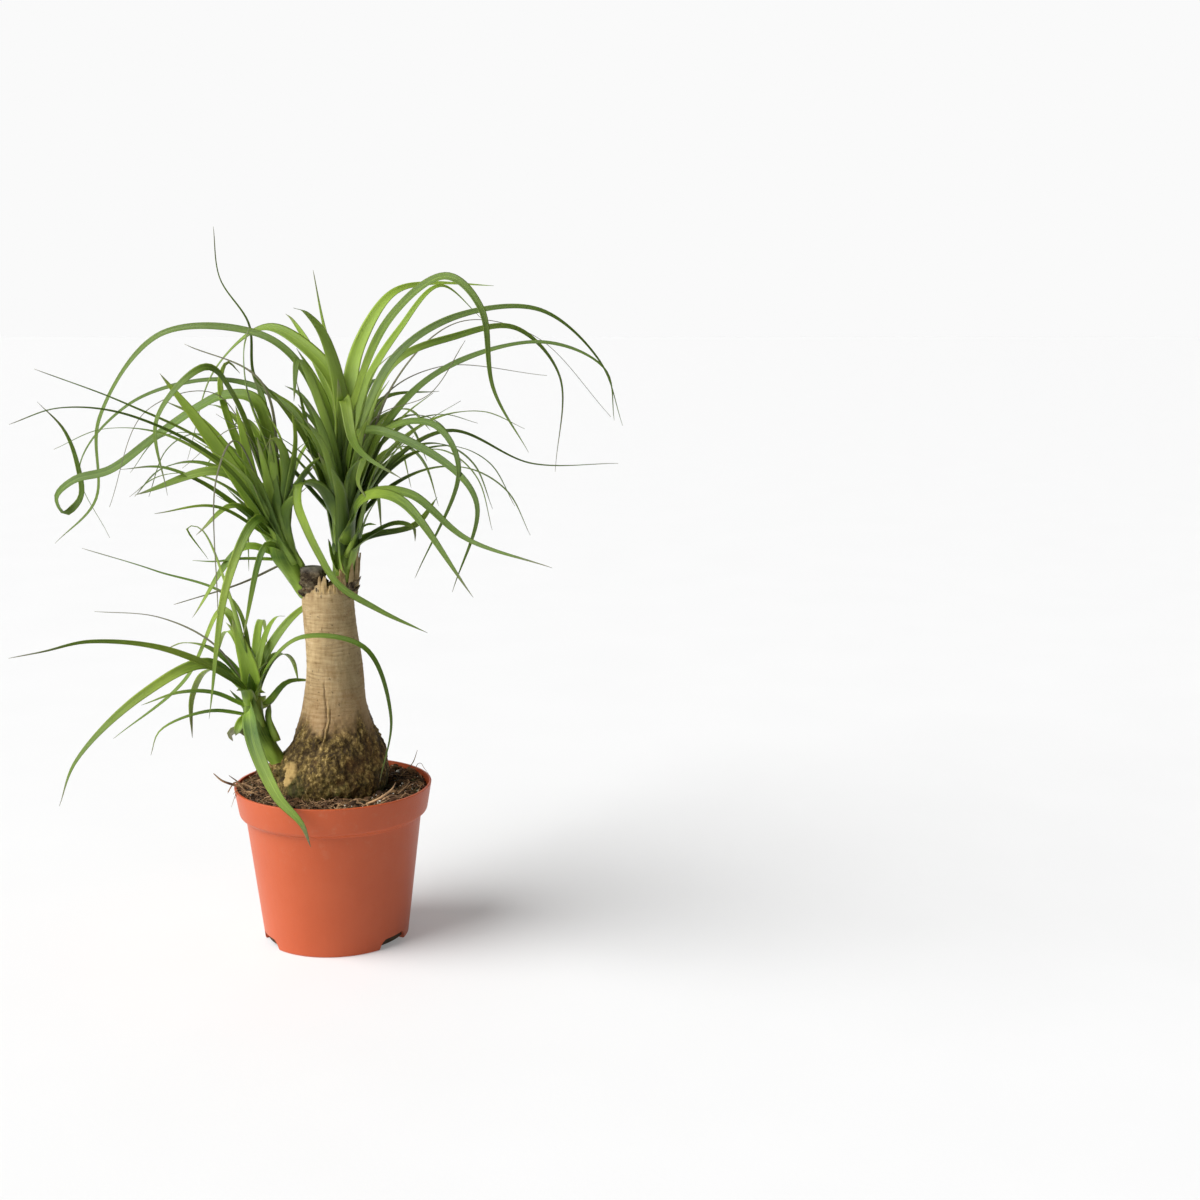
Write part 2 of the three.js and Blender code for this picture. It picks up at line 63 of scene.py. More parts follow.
class Wire:
    """A socket in a finish. A sum on wires adds its Math nodes, and `node` adds any other."""

    def __init__(self, tree, socket=None):
        self.tree = tree
        self.socket = socket

    def node(self, kind, settings, sockets, output=None):
        made = self.tree.nodes.new("ShaderNode" + kind)
        for name, value in settings.items():
            if name == "stops":
                ramp = made.color_ramp.elements
                while len(ramp) < len(value):
                    ramp.new(0.5)
                for stop, (place, colour) in zip(ramp, value):
                    stop.position = place
                    stop.color = shade(colour)
            else:
                setattr(made, name, value)
        for name, value in sockets.items():
            fitting = [s for s in made.inputs if s.enabled and s.name == name]
            entry = made.inputs[name] if isinstance(name, int) else fitting[0]
            if isinstance(value, Wire):
                self.tree.links.new(value.socket, entry)
            else:
                entry.default_value = shade(value) if isinstance(value, str) else value
        leaving = [s for s in made.outputs if s.enabled and output in (None, s.name)]
        return Wire(self.tree, leaving[0] if leaving else None)

    def __getitem__(self, name):
        return Wire(self.tree, self.socket.node.outputs[name])

    def maths(self, operation, *values):
        return self.node("Math", {"operation": operation}, dict(enumerate(values)))

    def __add__(self, other):
        return self.maths("ADD", self, other)

    def __sub__(self, other):
        return self.maths("SUBTRACT", self, other)

    def __rsub__(self, other):
        return self.maths("SUBTRACT", other, self)

    def __mul__(self, other):
        return self.maths("MULTIPLY", self, other)

    def __gt__(self, other):
        return self.maths("GREATER_THAN", self, other)

    __radd__ = __add__
    __rmul__ = __mul__

    def between(self, low, high):
        """0 below `low`, 1 above `high` and a smooth rise from one to the other."""
        return self.node("MapRange", {"interpolation_type": "SMOOTHSTEP"},
                         {"Value": self, "From Min": low, "From Max": high})

    def mix(self, off, on):
        """Colour `off` where this mask is 0 and `on` where it is 1."""
        return self.node("Mix", {"data_type": "RGBA"}, {"Factor": self, "A": off, "B": on})

    def ramp(self, *stops):
        """The colour that these (place, colour) stops give for this value."""
        return self.node("ValToRGB", {"stops": stops}, {"Fac": self})

    def place(self, kind="Object"):
        return self.node("TexCoord", {}, {}, kind)

    def stored(self, name):
        """The number that `give` stored on the mesh under this name."""
        return self.node("Attribute", {"attribute_name": name}, {}, "Fac")

    def stretched(self, *scale):
        return self.node("VectorMath", {"operation": "MULTIPLY"}, {0: self, 1: scale})

    def grain(self, scale, detail=3, harshness=0.55):
        """Noise at this many cells to a metre, or to whatever the coordinates are in."""
        return self.node("TexNoise", {}, {"Vector": self, "Scale": scale, "Detail": detail,
                                          "Roughness": harshness}, "Fac")


def shade(code):
    """A screen colour such as "c8592f" as the linear one that shaders take."""
    parts = [int(code[k:k + 2], 16) / 255 for k in (0, 2, 4)]
    return (*[p / 12.92 if p <= 0.04045 else ((p + 0.055) / 1.055) ** 2.4 for p in parts], 1)


def finish(name):
    """A new material and a wire to build it from."""
    made = bpy.data.materials.new(name)
    made.use_nodes = True
    made.node_tree.nodes.clear()
    return made, Wire(made.node_tree)


def surface(wire, height, lift, colour, roughness, **constants):
    """Ends a finish: its shader, with `height` as relief that is `lift` metres deep."""
    relief = wire.node("Bump", {}, {"Strength": 1.0, "Distance": lift, "Height": height})
    shader = wire.node("BsdfPrincipled", {}, {"Base Color": colour, "Roughness": roughness,
                                              "Normal": relief})
    for name, value in constants.items():
        entry = name.replace("_", " ").title().replace("Ior", "IOR")
        shader.socket.node.inputs[entry].default_value = value
    wire.node("OutputMaterial", {}, {"Surface": shader})


def piece(name, points, faces, material, slot=None, node=None, sharp=40):
    """A smooth mesh; where it is a part of the plant or the pot it rides on the one body."""
    mesh = bpy.data.meshes.new(name)
    mesh.from_pydata(np.asarray(points).tolist(), [], faces)
    mesh.materials.append(material)
    mesh.shade_smooth()
    mesh.set_sharp_from_angle(angle=math.radians(sharp))
    made = bpy.data.objects.new(name, mesh)
    bpy.context.scene.collection.objects.link(made)
    if node:
        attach(made, "root")
        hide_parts(node)
    return made


camera_data = bpy.data.cameras.new("camera")
camera_data.sensor_width = SENSOR
camera_data.lens = LENS
camera = bpy.data.objects.new("camera", camera_data)
camera.location = CAMERA_PLACE
camera.rotation_euler = (math.radians(90 - CAMERA_TILT), 0, 0)
bpy.context.scene.collection.objects.link(camera)
bpy.context.scene.camera = camera
bpy.context.scene.view_settings.view_transform = "Standard"

diffuser_data = bpy.data.lights.new("diffuser", "SUN")
diffuser_data.energy = LIGHT_POWER
diffuser_data.angle = math.radians(LIGHT_SPREAD)
diffuser = bpy.data.objects.new("diffuser", diffuser_data)
diffuser.rotation_euler = (math.radians(90 - LIGHT_RISE), 0, math.radians(-LIGHT_HEADING))
bpy.context.scene.collection.objects.link(diffuser)

surround = bpy.data.worlds.new("surround")
surround.use_nodes = True
surround.node_tree.nodes.clear()
bpy.context.scene.world = surround
air = Wire(surround.node_tree)
heading = air.node("SeparateXYZ", {}, {"Vector": air.place("Generated")}, "X")
backdrop = heading["Y"].between(*BACKDROP_FADE) * (1 - heading["Z"].between(*HORIZON_FADE))
sky = SKY_GLOW_LEFT - (SKY_GLOW_LEFT - SKY_GLOW_RIGHT) * heading["X"].between(*SIDE_FADE)
seen = air.node("LightPath", {}, {}, "Is Camera Ray")
lit = sky + backdrop * (HORIZON_GLOW - sky)
glow = air.node("Background", {}, {"Color": (1, 1, 1, 1),
                                   "Strength": lit + seen * (HORIZON_GLOW - lit)})
air.node("OutputWorld", {}, {"Surface": glow})

paper, wire = finish("floor_paper")
place = wire.place()
fleck = place.grain(9, 2)
# Painted light: the paper glows evenly by FLOOR_GLOW, which lightens the shadows that fall on it.
surface(wire, place.grain(400, 2), 0.05 * MM, fleck.mix("d2d2d2", "d5d5d5"),
        0.6 + 0.1 * fleck, emission_color=(1, 1, 1, 1), emission_strength=FLOOR_GLOW)
floor = piece("floor", [(x * FLOOR_REACH, y * FLOOR_REACH, 0)
                        for x, y in ((-1, -1), (1, -1), (1, 1), (-1, 1))], [(0, 1, 2, 3)], paper)

# The pot: a thin injection-moulded nursery pot of terracotta-coloured polypropylene, with an
# upright band under its lip, a rounded step below it, and three notches in its foot that run in
# under the floor to the drain holes.
POT_HEIGHT = 96.5 * MM
RIM_RADIUS = 60 * MM
FOOT_RADIUS = 44 * MM
POT_WALL = 1.2 * MM
POT_FLOOR = 1.4 * MM
BAND_HEIGHT = 16 * MM
BAND_TAPER = 2.6 * MM
SHOULDER_HEIGHT = 3 * MM
SHOULDER_RADIUS = 53.4 * MM
WALL_FILLET = 1.2 * MM
BAND_FILLET = 1.8 * MM
LIP_FILLET = 0.5 * MM
POT_SIDES = 168
FILLET_STEPS = 6
NOTCHES = 3
NOTCH_WIDTH = 25 * MM
NOTCH_HEIGHT = 6.2 * MM
NOTCH_SHOULDER = 4 * MM
CHANNEL_START = 25 * MM
DRAIN_RADIUS = 3.5 * MM
DRAIN_PLACE = 36 * MM


def rounded(corners):
    """The corners, each (across, up, fillet), as an outline that turns in an arc at a fillet."""
    outline = []
    for k, (x, y, fillet) in enumerate(corners):
        here = np.array((x, y))
        if k in (0, len(corners) - 1) or not fillet:
            outline.append(here)
            continue
        before, after = np.array(corners[k - 1][:2]), np.array(corners[k + 1][:2])
        start = here + (before - here) * fillet / np.linalg.norm(before - here)
        end = here + (after - here) * fillet / np.linalg.norm(after - here)
        for t in np.linspace(0, 1, FILLET_STEPS):
            outline.append(start * (1 - t)**2 + 2 * here * t * (1 - t) + end * t**2)
    return outline


def pot_corners(inset, base, top):
    """The pot's outside, moved inwards by `inset`, from the height `base` to the height `top`."""
    band = POT_HEIGHT - BAND_HEIGHT
    band_foot = RIM_RADIUS - BAND_TAPER
    return [(FOOT_RADIUS - inset, base, WALL_FILLET),
            (SHOULDER_RADIUS - inset, band - SHOULDER_HEIGHT, WALL_FILLET),
            (band_foot - 0.3 * MM - inset, band - WALL_FILLET, BAND_FILLET),
            (RIM_RADIUS - inset, top, LIP_FILLET)]


def ring(radius, height, sides, x=0.0, y=0.0):
    """A level ring of points, anticlockwise from above; one radius and height, or one for each."""
    turn = np.linspace(0, 2 * math.pi, sides, endpoint=False)
    return np.column_stack([x + radius * np.cos(turn), y + radius * np.sin(turn),
                            np.broadcast_to(height, sides)])


def skin(rings):
    """Points and faces of a closed body through the rings, anticlockwise seen from the last."""
    sides = len(rings[0])
    faces = [(a + s, a + (s + 1) % sides, a + sides + (s + 1) % sides, a + sides + s)
             for a in range(0, (len(rings) - 1) * sides, sides) for s in range(sides)]
    last = (len(rings) - 1) * sides
    faces += [tuple(range(sides - 1, -1, -1)), tuple(range(last, last + sides))]
    return np.vstack(rings), faces


def turned(name, corners, material):
    """A body turned on the pot's own axis."""
    outline = rounded([(0.5 * MM, corners[0][1], 0), *corners, (0.5 * MM, corners[-1][1], 0)])
    return piece(name, *skin([ring(r, z, POT_SIDES) for r, z in outline]), material)


def channel(name, angle, grow, material):
    """What one notch and its channel cut away, made larger by `grow`."""
    half = NOTCH_WIDTH / 2 + grow
    top = NOTCH_HEIGHT + grow
    outline = rounded([(-half - 0.2 * MM, -MM, 0), (half + 0.2 * MM, -MM, 0),
                       (half - NOTCH_SHOULDER * 0.35, top * 0.6, WALL_FILLET),
                       (half - NOTCH_SHOULDER, top, WALL_FILLET),
                       (NOTCH_SHOULDER - half, top, WALL_FILLET),
                       (NOTCH_SHOULDER * 0.35 - half, top * 0.6, WALL_FILLET),
                       (-half - 0.2 * MM, -0.9 * MM, 0)])
    across, up = np.array(outline).T
    rings = [np.column_stack([-across, np.full(len(up), reach), up])
             for reach in (CHANNEL_START - grow, FOOT_RADIUS + 8 * MM)]
    made = piece(name, *skin(rings), material)
    made.rotation_euler.z = angle
    return made


def carve(body, tools):
    """Cuts the tools out of the body, and removes them."""
    for tool in tools:
        cut = body.modifiers.new("cut", "BOOLEAN")
        cut.object = tool
        cut.operation = "DIFFERENCE"
        cut.solver = "EXACT"
    bpy.context.view_layer.update()
    worked = body.evaluated_get(bpy.context.evaluated_depsgraph_get())
    body.data = bpy.data.meshes.new_from_object(worked)
    body.modifiers.clear()
    for tool in tools:
        bpy.data.objects.remove(tool)


plastic, wire = finish("pot_plastic")
place = wire.place()
cloud = place.grain(38, 4)
streak = place.stretched(1, 1, 0.12).grain(420, 2)
height = wire.node("SeparateXYZ", {}, {"Vector": place}, "Z")
dusty = place.grain(160, 5, 0.7).between(0.52, 0.75) * height.between(0.03, 0.1)
colour = cloud.mix("b85026", "c15b33")
colour = (dusty * 0.22).mix(colour, "b98a6c")
surface(wire, place.grain(1500, 3) + 0.6 * streak, 0.12 * MM, colour,
        0.36 + 0.1 * cloud + 0.2 * dusty, specular_ior_level=0.36)

pot = turned("pot_shell", pot_corners(0, 0, POT_HEIGHT), plastic)
inside = turned("pot_inside", pot_corners(POT_WALL, POT_FLOOR, POT_HEIGHT + 2 * MM), plastic)
turns = [2 * math.pi * n / NOTCHES for n in range(NOTCHES)]
carve(inside, [channel(f"roof_{n}", turn, POT_WALL, plastic) for n, turn in enumerate(turns)])
drains = []
for n, turn in enumerate(turns):
    x, y = -DRAIN_PLACE * math.sin(turn), DRAIN_PLACE * math.cos(turn)
    drains.append(piece(f"drain_{n}", *skin([ring(DRAIN_RADIUS, z, 24, x, y)
                                            for z in (-MM, 3 * NOTCH_HEIGHT)]), plastic))
carve(pot, [inside, *[channel(f"notch_{n}", turn, 0, plastic) for n, turn in enumerate(turns)],
            *drains])
pot.data.shade_smooth()
pot.data.set_sharp_from_angle(angle=math.radians(32))
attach(pot, "root")
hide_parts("pot")

# The soil: dark peat mix pressed in round the trunk and heaped at the left, a few millimetres under
# the pot's lip. Its surface is rough and damp in places, and loose crumbs lie all over it.
GAP = 0.35 * MM
SOIL_LEVEL = 93 * MM
SOIL_CROWN = 2.4 * MM
SOIL_HEAP = 3.2 * MM
SOIL_LUMP = 0.7 * MM
SOIL_SIDES = 220
TRUNK_FOOT = 70 * MM
SOIL_RINGS = 46
CRUMBS = 3400

# Height, middle and radius of the trunk in millimetres, from under the soil to below the saw cut
TRUNK = [
    [70, 1, 14], [75, 1, 23], [83, 0, 31], [92, -1, 34.8], [101, -0.5, 35.4], [110, 0, 33.4],
    [119, 1.4, 29.6], [126, 1.7, 26], [133, 1.8, 23], [145, 2.4, 19.6], [160, 2.7, 17.7],
    [178, 1.8, 16.5], [197, 0.6, 15.7], [212, -0.4, 15.6], [217, -0.4, 15.2],
]


def soil_top(x, y):
    """The height of the raked surface at a place in metres."""
    x, y = x / MM, y / MM
    out = np.hypot(x, y) * MM / RIM_RADIUS
    left = np.maximum(0, -x) * MM / RIM_RADIUS
    lumps = np.sin(x * 0.31 + 1) * np.sin(y * 0.27) + np.sin((x + y) * 0.17)
    return SOIL_LEVEL + SOIL_CROWN * (1 - out) + SOIL_HEAP * left**2 * (1.6 - out) + SOIL_LUMP * lumps


def rough(points, cell, octaves=4, seed=0.0):
    """Fractal noise from about -1 to 1 at each point, with its largest lumps `cell` metres wide."""
    return np.array([noise.fractal(Vector(p) / cell + Vector((seed, seed, seed)), 1.0, 2.1, octaves)
                     for p in points])


def spine(points, count):
    """Evenly spaced points on a smooth curve through the given ones."""
    p = np.array(points, float)
    p = np.vstack([2 * p[0] - p[1], p, 2 * p[-1] - p[-2]])
    gaps = np.sqrt(np.linalg.norm(np.diff(p, axis=0), axis=1))
    t = np.linspace(0, 1, 24, endpoint=False)[:, None]
    runs = []
    for a, b, c, d, ka, kb, kc in zip(p, p[1:], p[2:], p[3:], gaps, gaps[1:], gaps[2:]):
        leave = ((b - a) / ka - (c - a) / (ka + kb) + (c - b) / kb) * kb
        reach = ((c - b) / kb - (d - b) / (kb + kc) + (d - c) / kc) * kb
        runs.append(b + leave * t + (3 * (c - b) - 2 * leave - reach) * t**2
                    + (2 * (b - c) + leave + reach) * t**3)
    curve = np.vstack([*runs, p[-2:-1]])
    walked = np.concatenate([[0], np.cumsum(np.linalg.norm(np.diff(curve, axis=0), axis=1))])
    stations = np.linspace(0, walked[-1], count)
    return np.column_stack([np.interp(stations, walked, curve[:, k]) for k in range(curve.shape[1])])


trunk_line = spine(TRUNK, 400)


def trunk_radius(height, turn):
    """How far the bark lies from the trunk's middle, in metres, before its fine relief."""
    z = height / MM
    radius = np.interp(z, trunk_line[:, 0], trunk_line[:, 2])
    swell = np.interp(z, (122, 138), (0.035, 0.018))
    return MM * radius * (1 + swell * (np.sin(3 * turn + z / 9) + 0.6 * np.sin(5 * turn - z / 7)))


def trunk_middle(height):
    """How far to the right the trunk's middle lies, in metres."""
    return MM * np.interp(height / MM, trunk_line[:, 0], trunk_line[:, 1])


def trunk_ring(height, sides, grow=0.0):
    turn = np.linspace(0, 2 * math.pi, sides, endpoint=False)
    return ring(trunk_radius(height, turn) + grow, height, sides, trunk_middle(height))


def soil_ring(share):
    """A ring on the soil's surface, this share of the way from the bark out to the pot's wall."""
    wall = ring(RIM_RADIUS - POT_WALL - GAP - 1.1 * MM, SOIL_LEVEL, SOIL_SIDES)
    bark = trunk_ring(SOIL_LEVEL + 2 * MM, SOIL_SIDES, GAP)
    made = bark + (wall - bark) * share
    made[:, 2] = soil_top(made[:, 0], made[:, 1]) - 1.2 * MM * max(0, share * 12 - 11)
    relief = rough(made, 9 * MM, 5) * 0.9 + rough(made, 2.4 * MM, 3, 5.0) * 0.55
    made[:, 2] += relief * MM * min(1, 6 * (1 - share) + 0.2)
    return made


under = rounded([(20 * MM, POT_FLOOR + GAP, 0), *pot_corners(POT_WALL + GAP, POT_FLOOR + GAP,
                                                            POT_HEIGHT)])[:-FILLET_STEPS]
soil_rings = [ring(radius, z, SOIL_SIDES) for radius, z in under]
soil_rings += [soil_ring(share) for share in np.linspace(1, 0, SOIL_RINGS)]
soil_rings += [trunk_ring(z, SOIL_SIDES, GAP) for z in np.linspace(90 * MM, TRUNK_FOOT, 8)]

peat, wire = finish("peat")
place = wire.place()
tone = wire.stored("tone")
clods = place.grain(260, 6, 0.7)
damp = place.grain(34, 3).between(0.4, 0.65)
brown = (clods * 0.7 + tone * 0.42 - 0.1).ramp((0.0, "1a120b"), (0.42, "402d1c"),
                                               (0.64, "735334"), (0.92, "bd9a6f"))
moss = (place.grain(70, 4).between(0.52, 0.7) * 0.55).mix(brown, "434a22")
surface(wire, clods + 0.5 * place.grain(900, 4), 1.2 * MM, moss, 0.95 - 0.25 * damp,
        specular_ior_level=0.3)


def give(made, **values):
    """Stores a number for each point of the mesh, which its finish reads by name."""
    for name, numbers in values.items():
        stored = made.data.attributes.new(name, "FLOAT", "POINT")
        stored.data.foreach_set("value", np.asarray(numbers, np.float32))


soil = piece("soil_bed", *skin(soil_rings), peat, "potting_soil", "soil", 70)
give(soil, tone=np.full(len(soil.data.vertices), 0.25))


def grains(name, kinds, places, sizes, material, flat, seed):
    """Lumps copied from a few kneaded stones, turned at random, in one mesh."""
    draw = np.random.default_rng(seed)
    stones = []
    for kind in range(kinds):
        ball = bmesh.new()
        bmesh.ops.create_icosphere(ball, subdivisions=2, radius=0.5)
        points = np.array([v.co for v in ball.verts])
        faces = [tuple(v.index for v in f.verts) for f in ball.faces]
        ball.free()
        dent = rough(points, 0.42, 3, 7.0 * kind + seed)[:, None]
        stones.append(points * (1 + 0.42 * dent) * draw.uniform(0.62, 1.15, 3) * (1, 1, flat))
    points, all_faces, tones = [], [], []
    for k, (where, size) in enumerate(zip(places, sizes)):
        a, b, c = draw.uniform(0, 2 * math.pi), draw.normal(0, 0.5), draw.normal(0, 0.5)
        spin = (Vector((math.cos(a), math.sin(a), b)).to_track_quat("X", "Z").to_matrix()
                @ Vector((1, 0, c)).to_track_quat("X", "Z").to_matrix())
        start = len(points) * len(stones[0])
        points.append(stones[k % kinds] @ np.array(spin).T * size + where)
        all_faces += [tuple(start + corner for corner in face) for face in faces]
        tones.append(np.full(len(stones[0]), draw.uniform()))
    made = piece(name, np.vstack(points), all_faces, material, "potting_soil", "soil", 60)
    give(made, tone=np.concatenate(tones))


def strewn(count, seed, lift, left=0.0):
    """Places on the soil between bark and wall, more of them to the left or right as asked."""
    draw = np.random.default_rng(seed)
    found = []
    while len(found) < count:
        turn, share = draw.uniform(0, 2 * math.pi), draw.uniform(0.02, 0.97)**0.8
        if draw.uniform() > 0.5 - 0.5 * left * math.cos(turn):
            continue
        bark = trunk_middle(SOIL_LEVEL) + trunk_radius(SOIL_LEVEL, turn) * math.cos(turn)
        inner = np.array((bark, trunk_radius(SOIL_LEVEL, turn) * math.sin(turn)))
        outer = (RIM_RADIUS - POT_WALL - 2.2 * MM) * np.array((math.cos(turn), math.sin(turn)))
        x, y = inner + (outer - inner) * share
        found.append((x, y, soil_top(x, y) + lift * draw.uniform(-0.4, 1)))
    return np.array(found)


# Crumbs, perlite and chips take their sizes from one draw, in this order
draw = np.random.default_rng(3)
grains("soil_crumbs", 9, strewn(CRUMBS, 4, 1.1 * MM), draw.gamma(2.6, 0.62 * MM, CRUMBS) + 0.5 * MM,
       peat, 0.8, 5)

# The perlite: white grains of blown volcanic glass, mixed into the peat to keep it open. They lie in
# its surface, more of them at the right, and peat water has stained them.
PERLITE = 250

pumice, wire = finish("perlite")
place = wire.place()
pores = place.grain(1400, 4, 0.7)
stain = place.grain(150, 3).between(0.45, 0.75)
white = pores.mix("cfc8b8", "f2efe6")
surface(wire, pores, 0.4 * MM, (stain * 0.5).mix(white, "8f8168"), 0.9 - 0.1 * pores)
grains("perlite_grains", 5, strewn(PERLITE, 6, 1.4 * MM, -0.55),
       draw.gamma(4, 0.2 * MM, PERLITE) + 0.45 * MM, pumice, 0.85, 7)

# The bark chips: thin flakes of composted bark from the same mix, pressed flat into the surface by
# watering.
CHIPS = 130

chip_bark, wire = finish("chip_bark")
place = wire.place()
tone = wire.stored("tone")
fibre = place.stretched(1, 0.25, 1).grain(1100, 4, 0.65)
flake = (0.55 * fibre + 0.5 * tone).ramp((0.2, "3a2517"), (0.55, "6b4a2f"), (0.95, "a98558"))
surface(wire, fibre, 0.4 * MM, flake, 0.85 - 0.1 * fibre)
grains("bark_chips", 6, strewn(CHIPS, 8, 1.5 * MM, 0.1), draw.gamma(5, 0.55 * MM, CHIPS) + MM,
       chip_bark, 0.3, 9)

# The dry roots: thin, dead, fibrous roots of the plant that lie loose on the soil. A few long ones
# show in front, and some stand up stiffly or lean out over the pot's lip.
ROOTS = 270
ROOT_STATIONS = 26
# Start in millimetres across and back, heading, length and width
LONG_ROOTS = [
    (-43, -16, 160, 24, 0.8), (-48, -10, 178, 17, 0.35), (-46, -20, 222, 20, 0.3),
    (-38, -30, 150, 22, 0.5), (-50, -14, 320, 20, 0.45), (-40, -26, 205, 17, 0.4),
    (-46, -4, 250, 22, 0.4), (-36, -34, 20, 16, 0.4), (34, -34, 40, 15, 0.9),
    (41, 30, 35, 18, 0.22), (30, -38, 352, 24, 0.5), (26, -42, 285, 10, 0.5),
    (12, -43, 20, 20, 0.35), (42, -18, 62, 24, 0.7), (-30, -36, 300, 18, 0.4),
]
# Points in millimetres, and half the width
STANDING_ROOTS = [
    ([(-48, -11, 95), (-58, -13.5, 98.5), (-65, -16, 102), (-69.5, -18, 107)], 0.85),
    ([(-50, -13, 95), (-55, -14, 100), (-61, -15, 105)], 0.5),
    ([(-44, -26, 94), (-52, -25, 101), (-55, -20, 103)], 0.4),
    ([(24, -42, 94), (34, -44, 99), (41, -42, 104), (43, -38, 107)], 0.8),
    ([(38, 20, 94), (46, 26, 102), (49, 27, 110)], 0.35),
]


def tube(points, radii, sides):
    """A closed round strand through the points."""
    along = np.gradient(points, axis=0)
    along /= np.linalg.norm(along, axis=1)[:, None]
    side = np.cross(along[0], (0.3, 0.2, 1.0))
    rings = []
    for at, way, radius in zip(points, along, radii):
        side = side - way * (side @ way)
        side /= np.linalg.norm(side)
        turn = np.linspace(0, 2 * math.pi, sides, endpoint=False)[:, None]
        rings.append(at + radius * (np.cos(turn) * side + np.sin(turn) * np.cross(way, side)))
    return skin(rings)


def joined(parts):
    """Several (points, faces) as one."""
    points, faces, start = [], [], 0
    for some, their_faces in parts:
        points.append(some)
        faces += [tuple(start + corner for corner in face) for face in their_faces]
        start += len(some)
    return np.vstack(points), faces


def root_strand(at, heading, length, wave, arch, radius, draw, limit=1.0):
    """A dry root that lies on the soil from `at`, wanders, and stays within `limit` metres."""
    steps = 9
    x, y = at[:2]
    walk = [(x, y, at[2])]
    for k in range(1, steps):
        heading += draw.normal(0, wave)
        x += length / steps * math.cos(heading)
        y += length / steps * math.sin(heading)
        out = math.hypot(x, y)
        x, y, out = x * min(1, limit / out), y * min(1, limit / out), min(out, limit)
        lip = POT_HEIGHT + 0.7 * MM
        ground = lip if out > RIM_RADIUS - 3 * MM else soil_top(x, y) + 0.6 * MM
        if out > RIM_RADIUS + MM:
            ground = lip - (out - RIM_RADIUS) * 1.3
        walk.append((x, y, ground + arch * math.sin(math.pi * k / steps)))
    taper = radius * (1 - 0.75 * np.linspace(0, 1, ROOT_STATIONS)**2)
    return tube(spine(walk, ROOT_STATIONS), taper, 6)


dry_root, wire = finish("dry_root")
place = wire.place()
blotch = place.grain(120, 4)
surface(wire, place.grain(1600, 3), 0.2 * MM,
        blotch.between(0.3, 0.7).mix("5b3f29", "b9946a"), 0.8 + 0.1 * blotch)
draw = np.random.default_rng(12)
strands = []
for at in strewn(ROOTS, 13, 0.8 * MM, 0.7):
    strands.append(root_strand(at, draw.uniform(0, 2 * math.pi), draw.uniform(9, 34) * MM, 0.45,
                               draw.uniform(0, 3.5) * MM, draw.uniform(0.14, 0.36) * MM, draw,
                               RIM_RADIUS - 5 * MM))
for x, y, heading, length, width in LONG_ROOTS:
    at = (x * MM, y * MM, soil_top(x * MM, y * MM) + 0.6 * MM)
    strands.append(root_strand(at, math.radians(heading), length * MM, 0.16, 2.5 * MM, width * MM, draw))
for points, width in STANDING_ROOTS:
    taper = width * MM * (1 - 0.7 * np.linspace(0, 1, ROOT_STATIONS)**3)
    strands.append(tube(spine(points, ROOT_STATIONS) * MM, taper, 8))
piece("dry_roots", *joined(strands), dry_root, "potting_soil", "soil", 180)

# The trunk: a woody stem swollen into a corky caudex at the soil. Thin rings left by fallen leaves
# run round the tan upper part; the foot is rough, flaky, split and mossy.
TRUNK_TOP = 217 * MM
TRUNK_SIDES = 220
TRUNK_RINGS = 320
SCAR_SPACING = 2.3 * MM
CORK_TOP = 143 * MM
SPLIT_TURN = math.radians(261)
SCAR_PATCH = (-22.5, 108)      # a pale patch of fresh cork beside the offset, across and up


def near(value, middle, width):
    """1 at `middle`, fading to 0 each side of it."""
    return np.exp(-((value - middle) / width)**2)


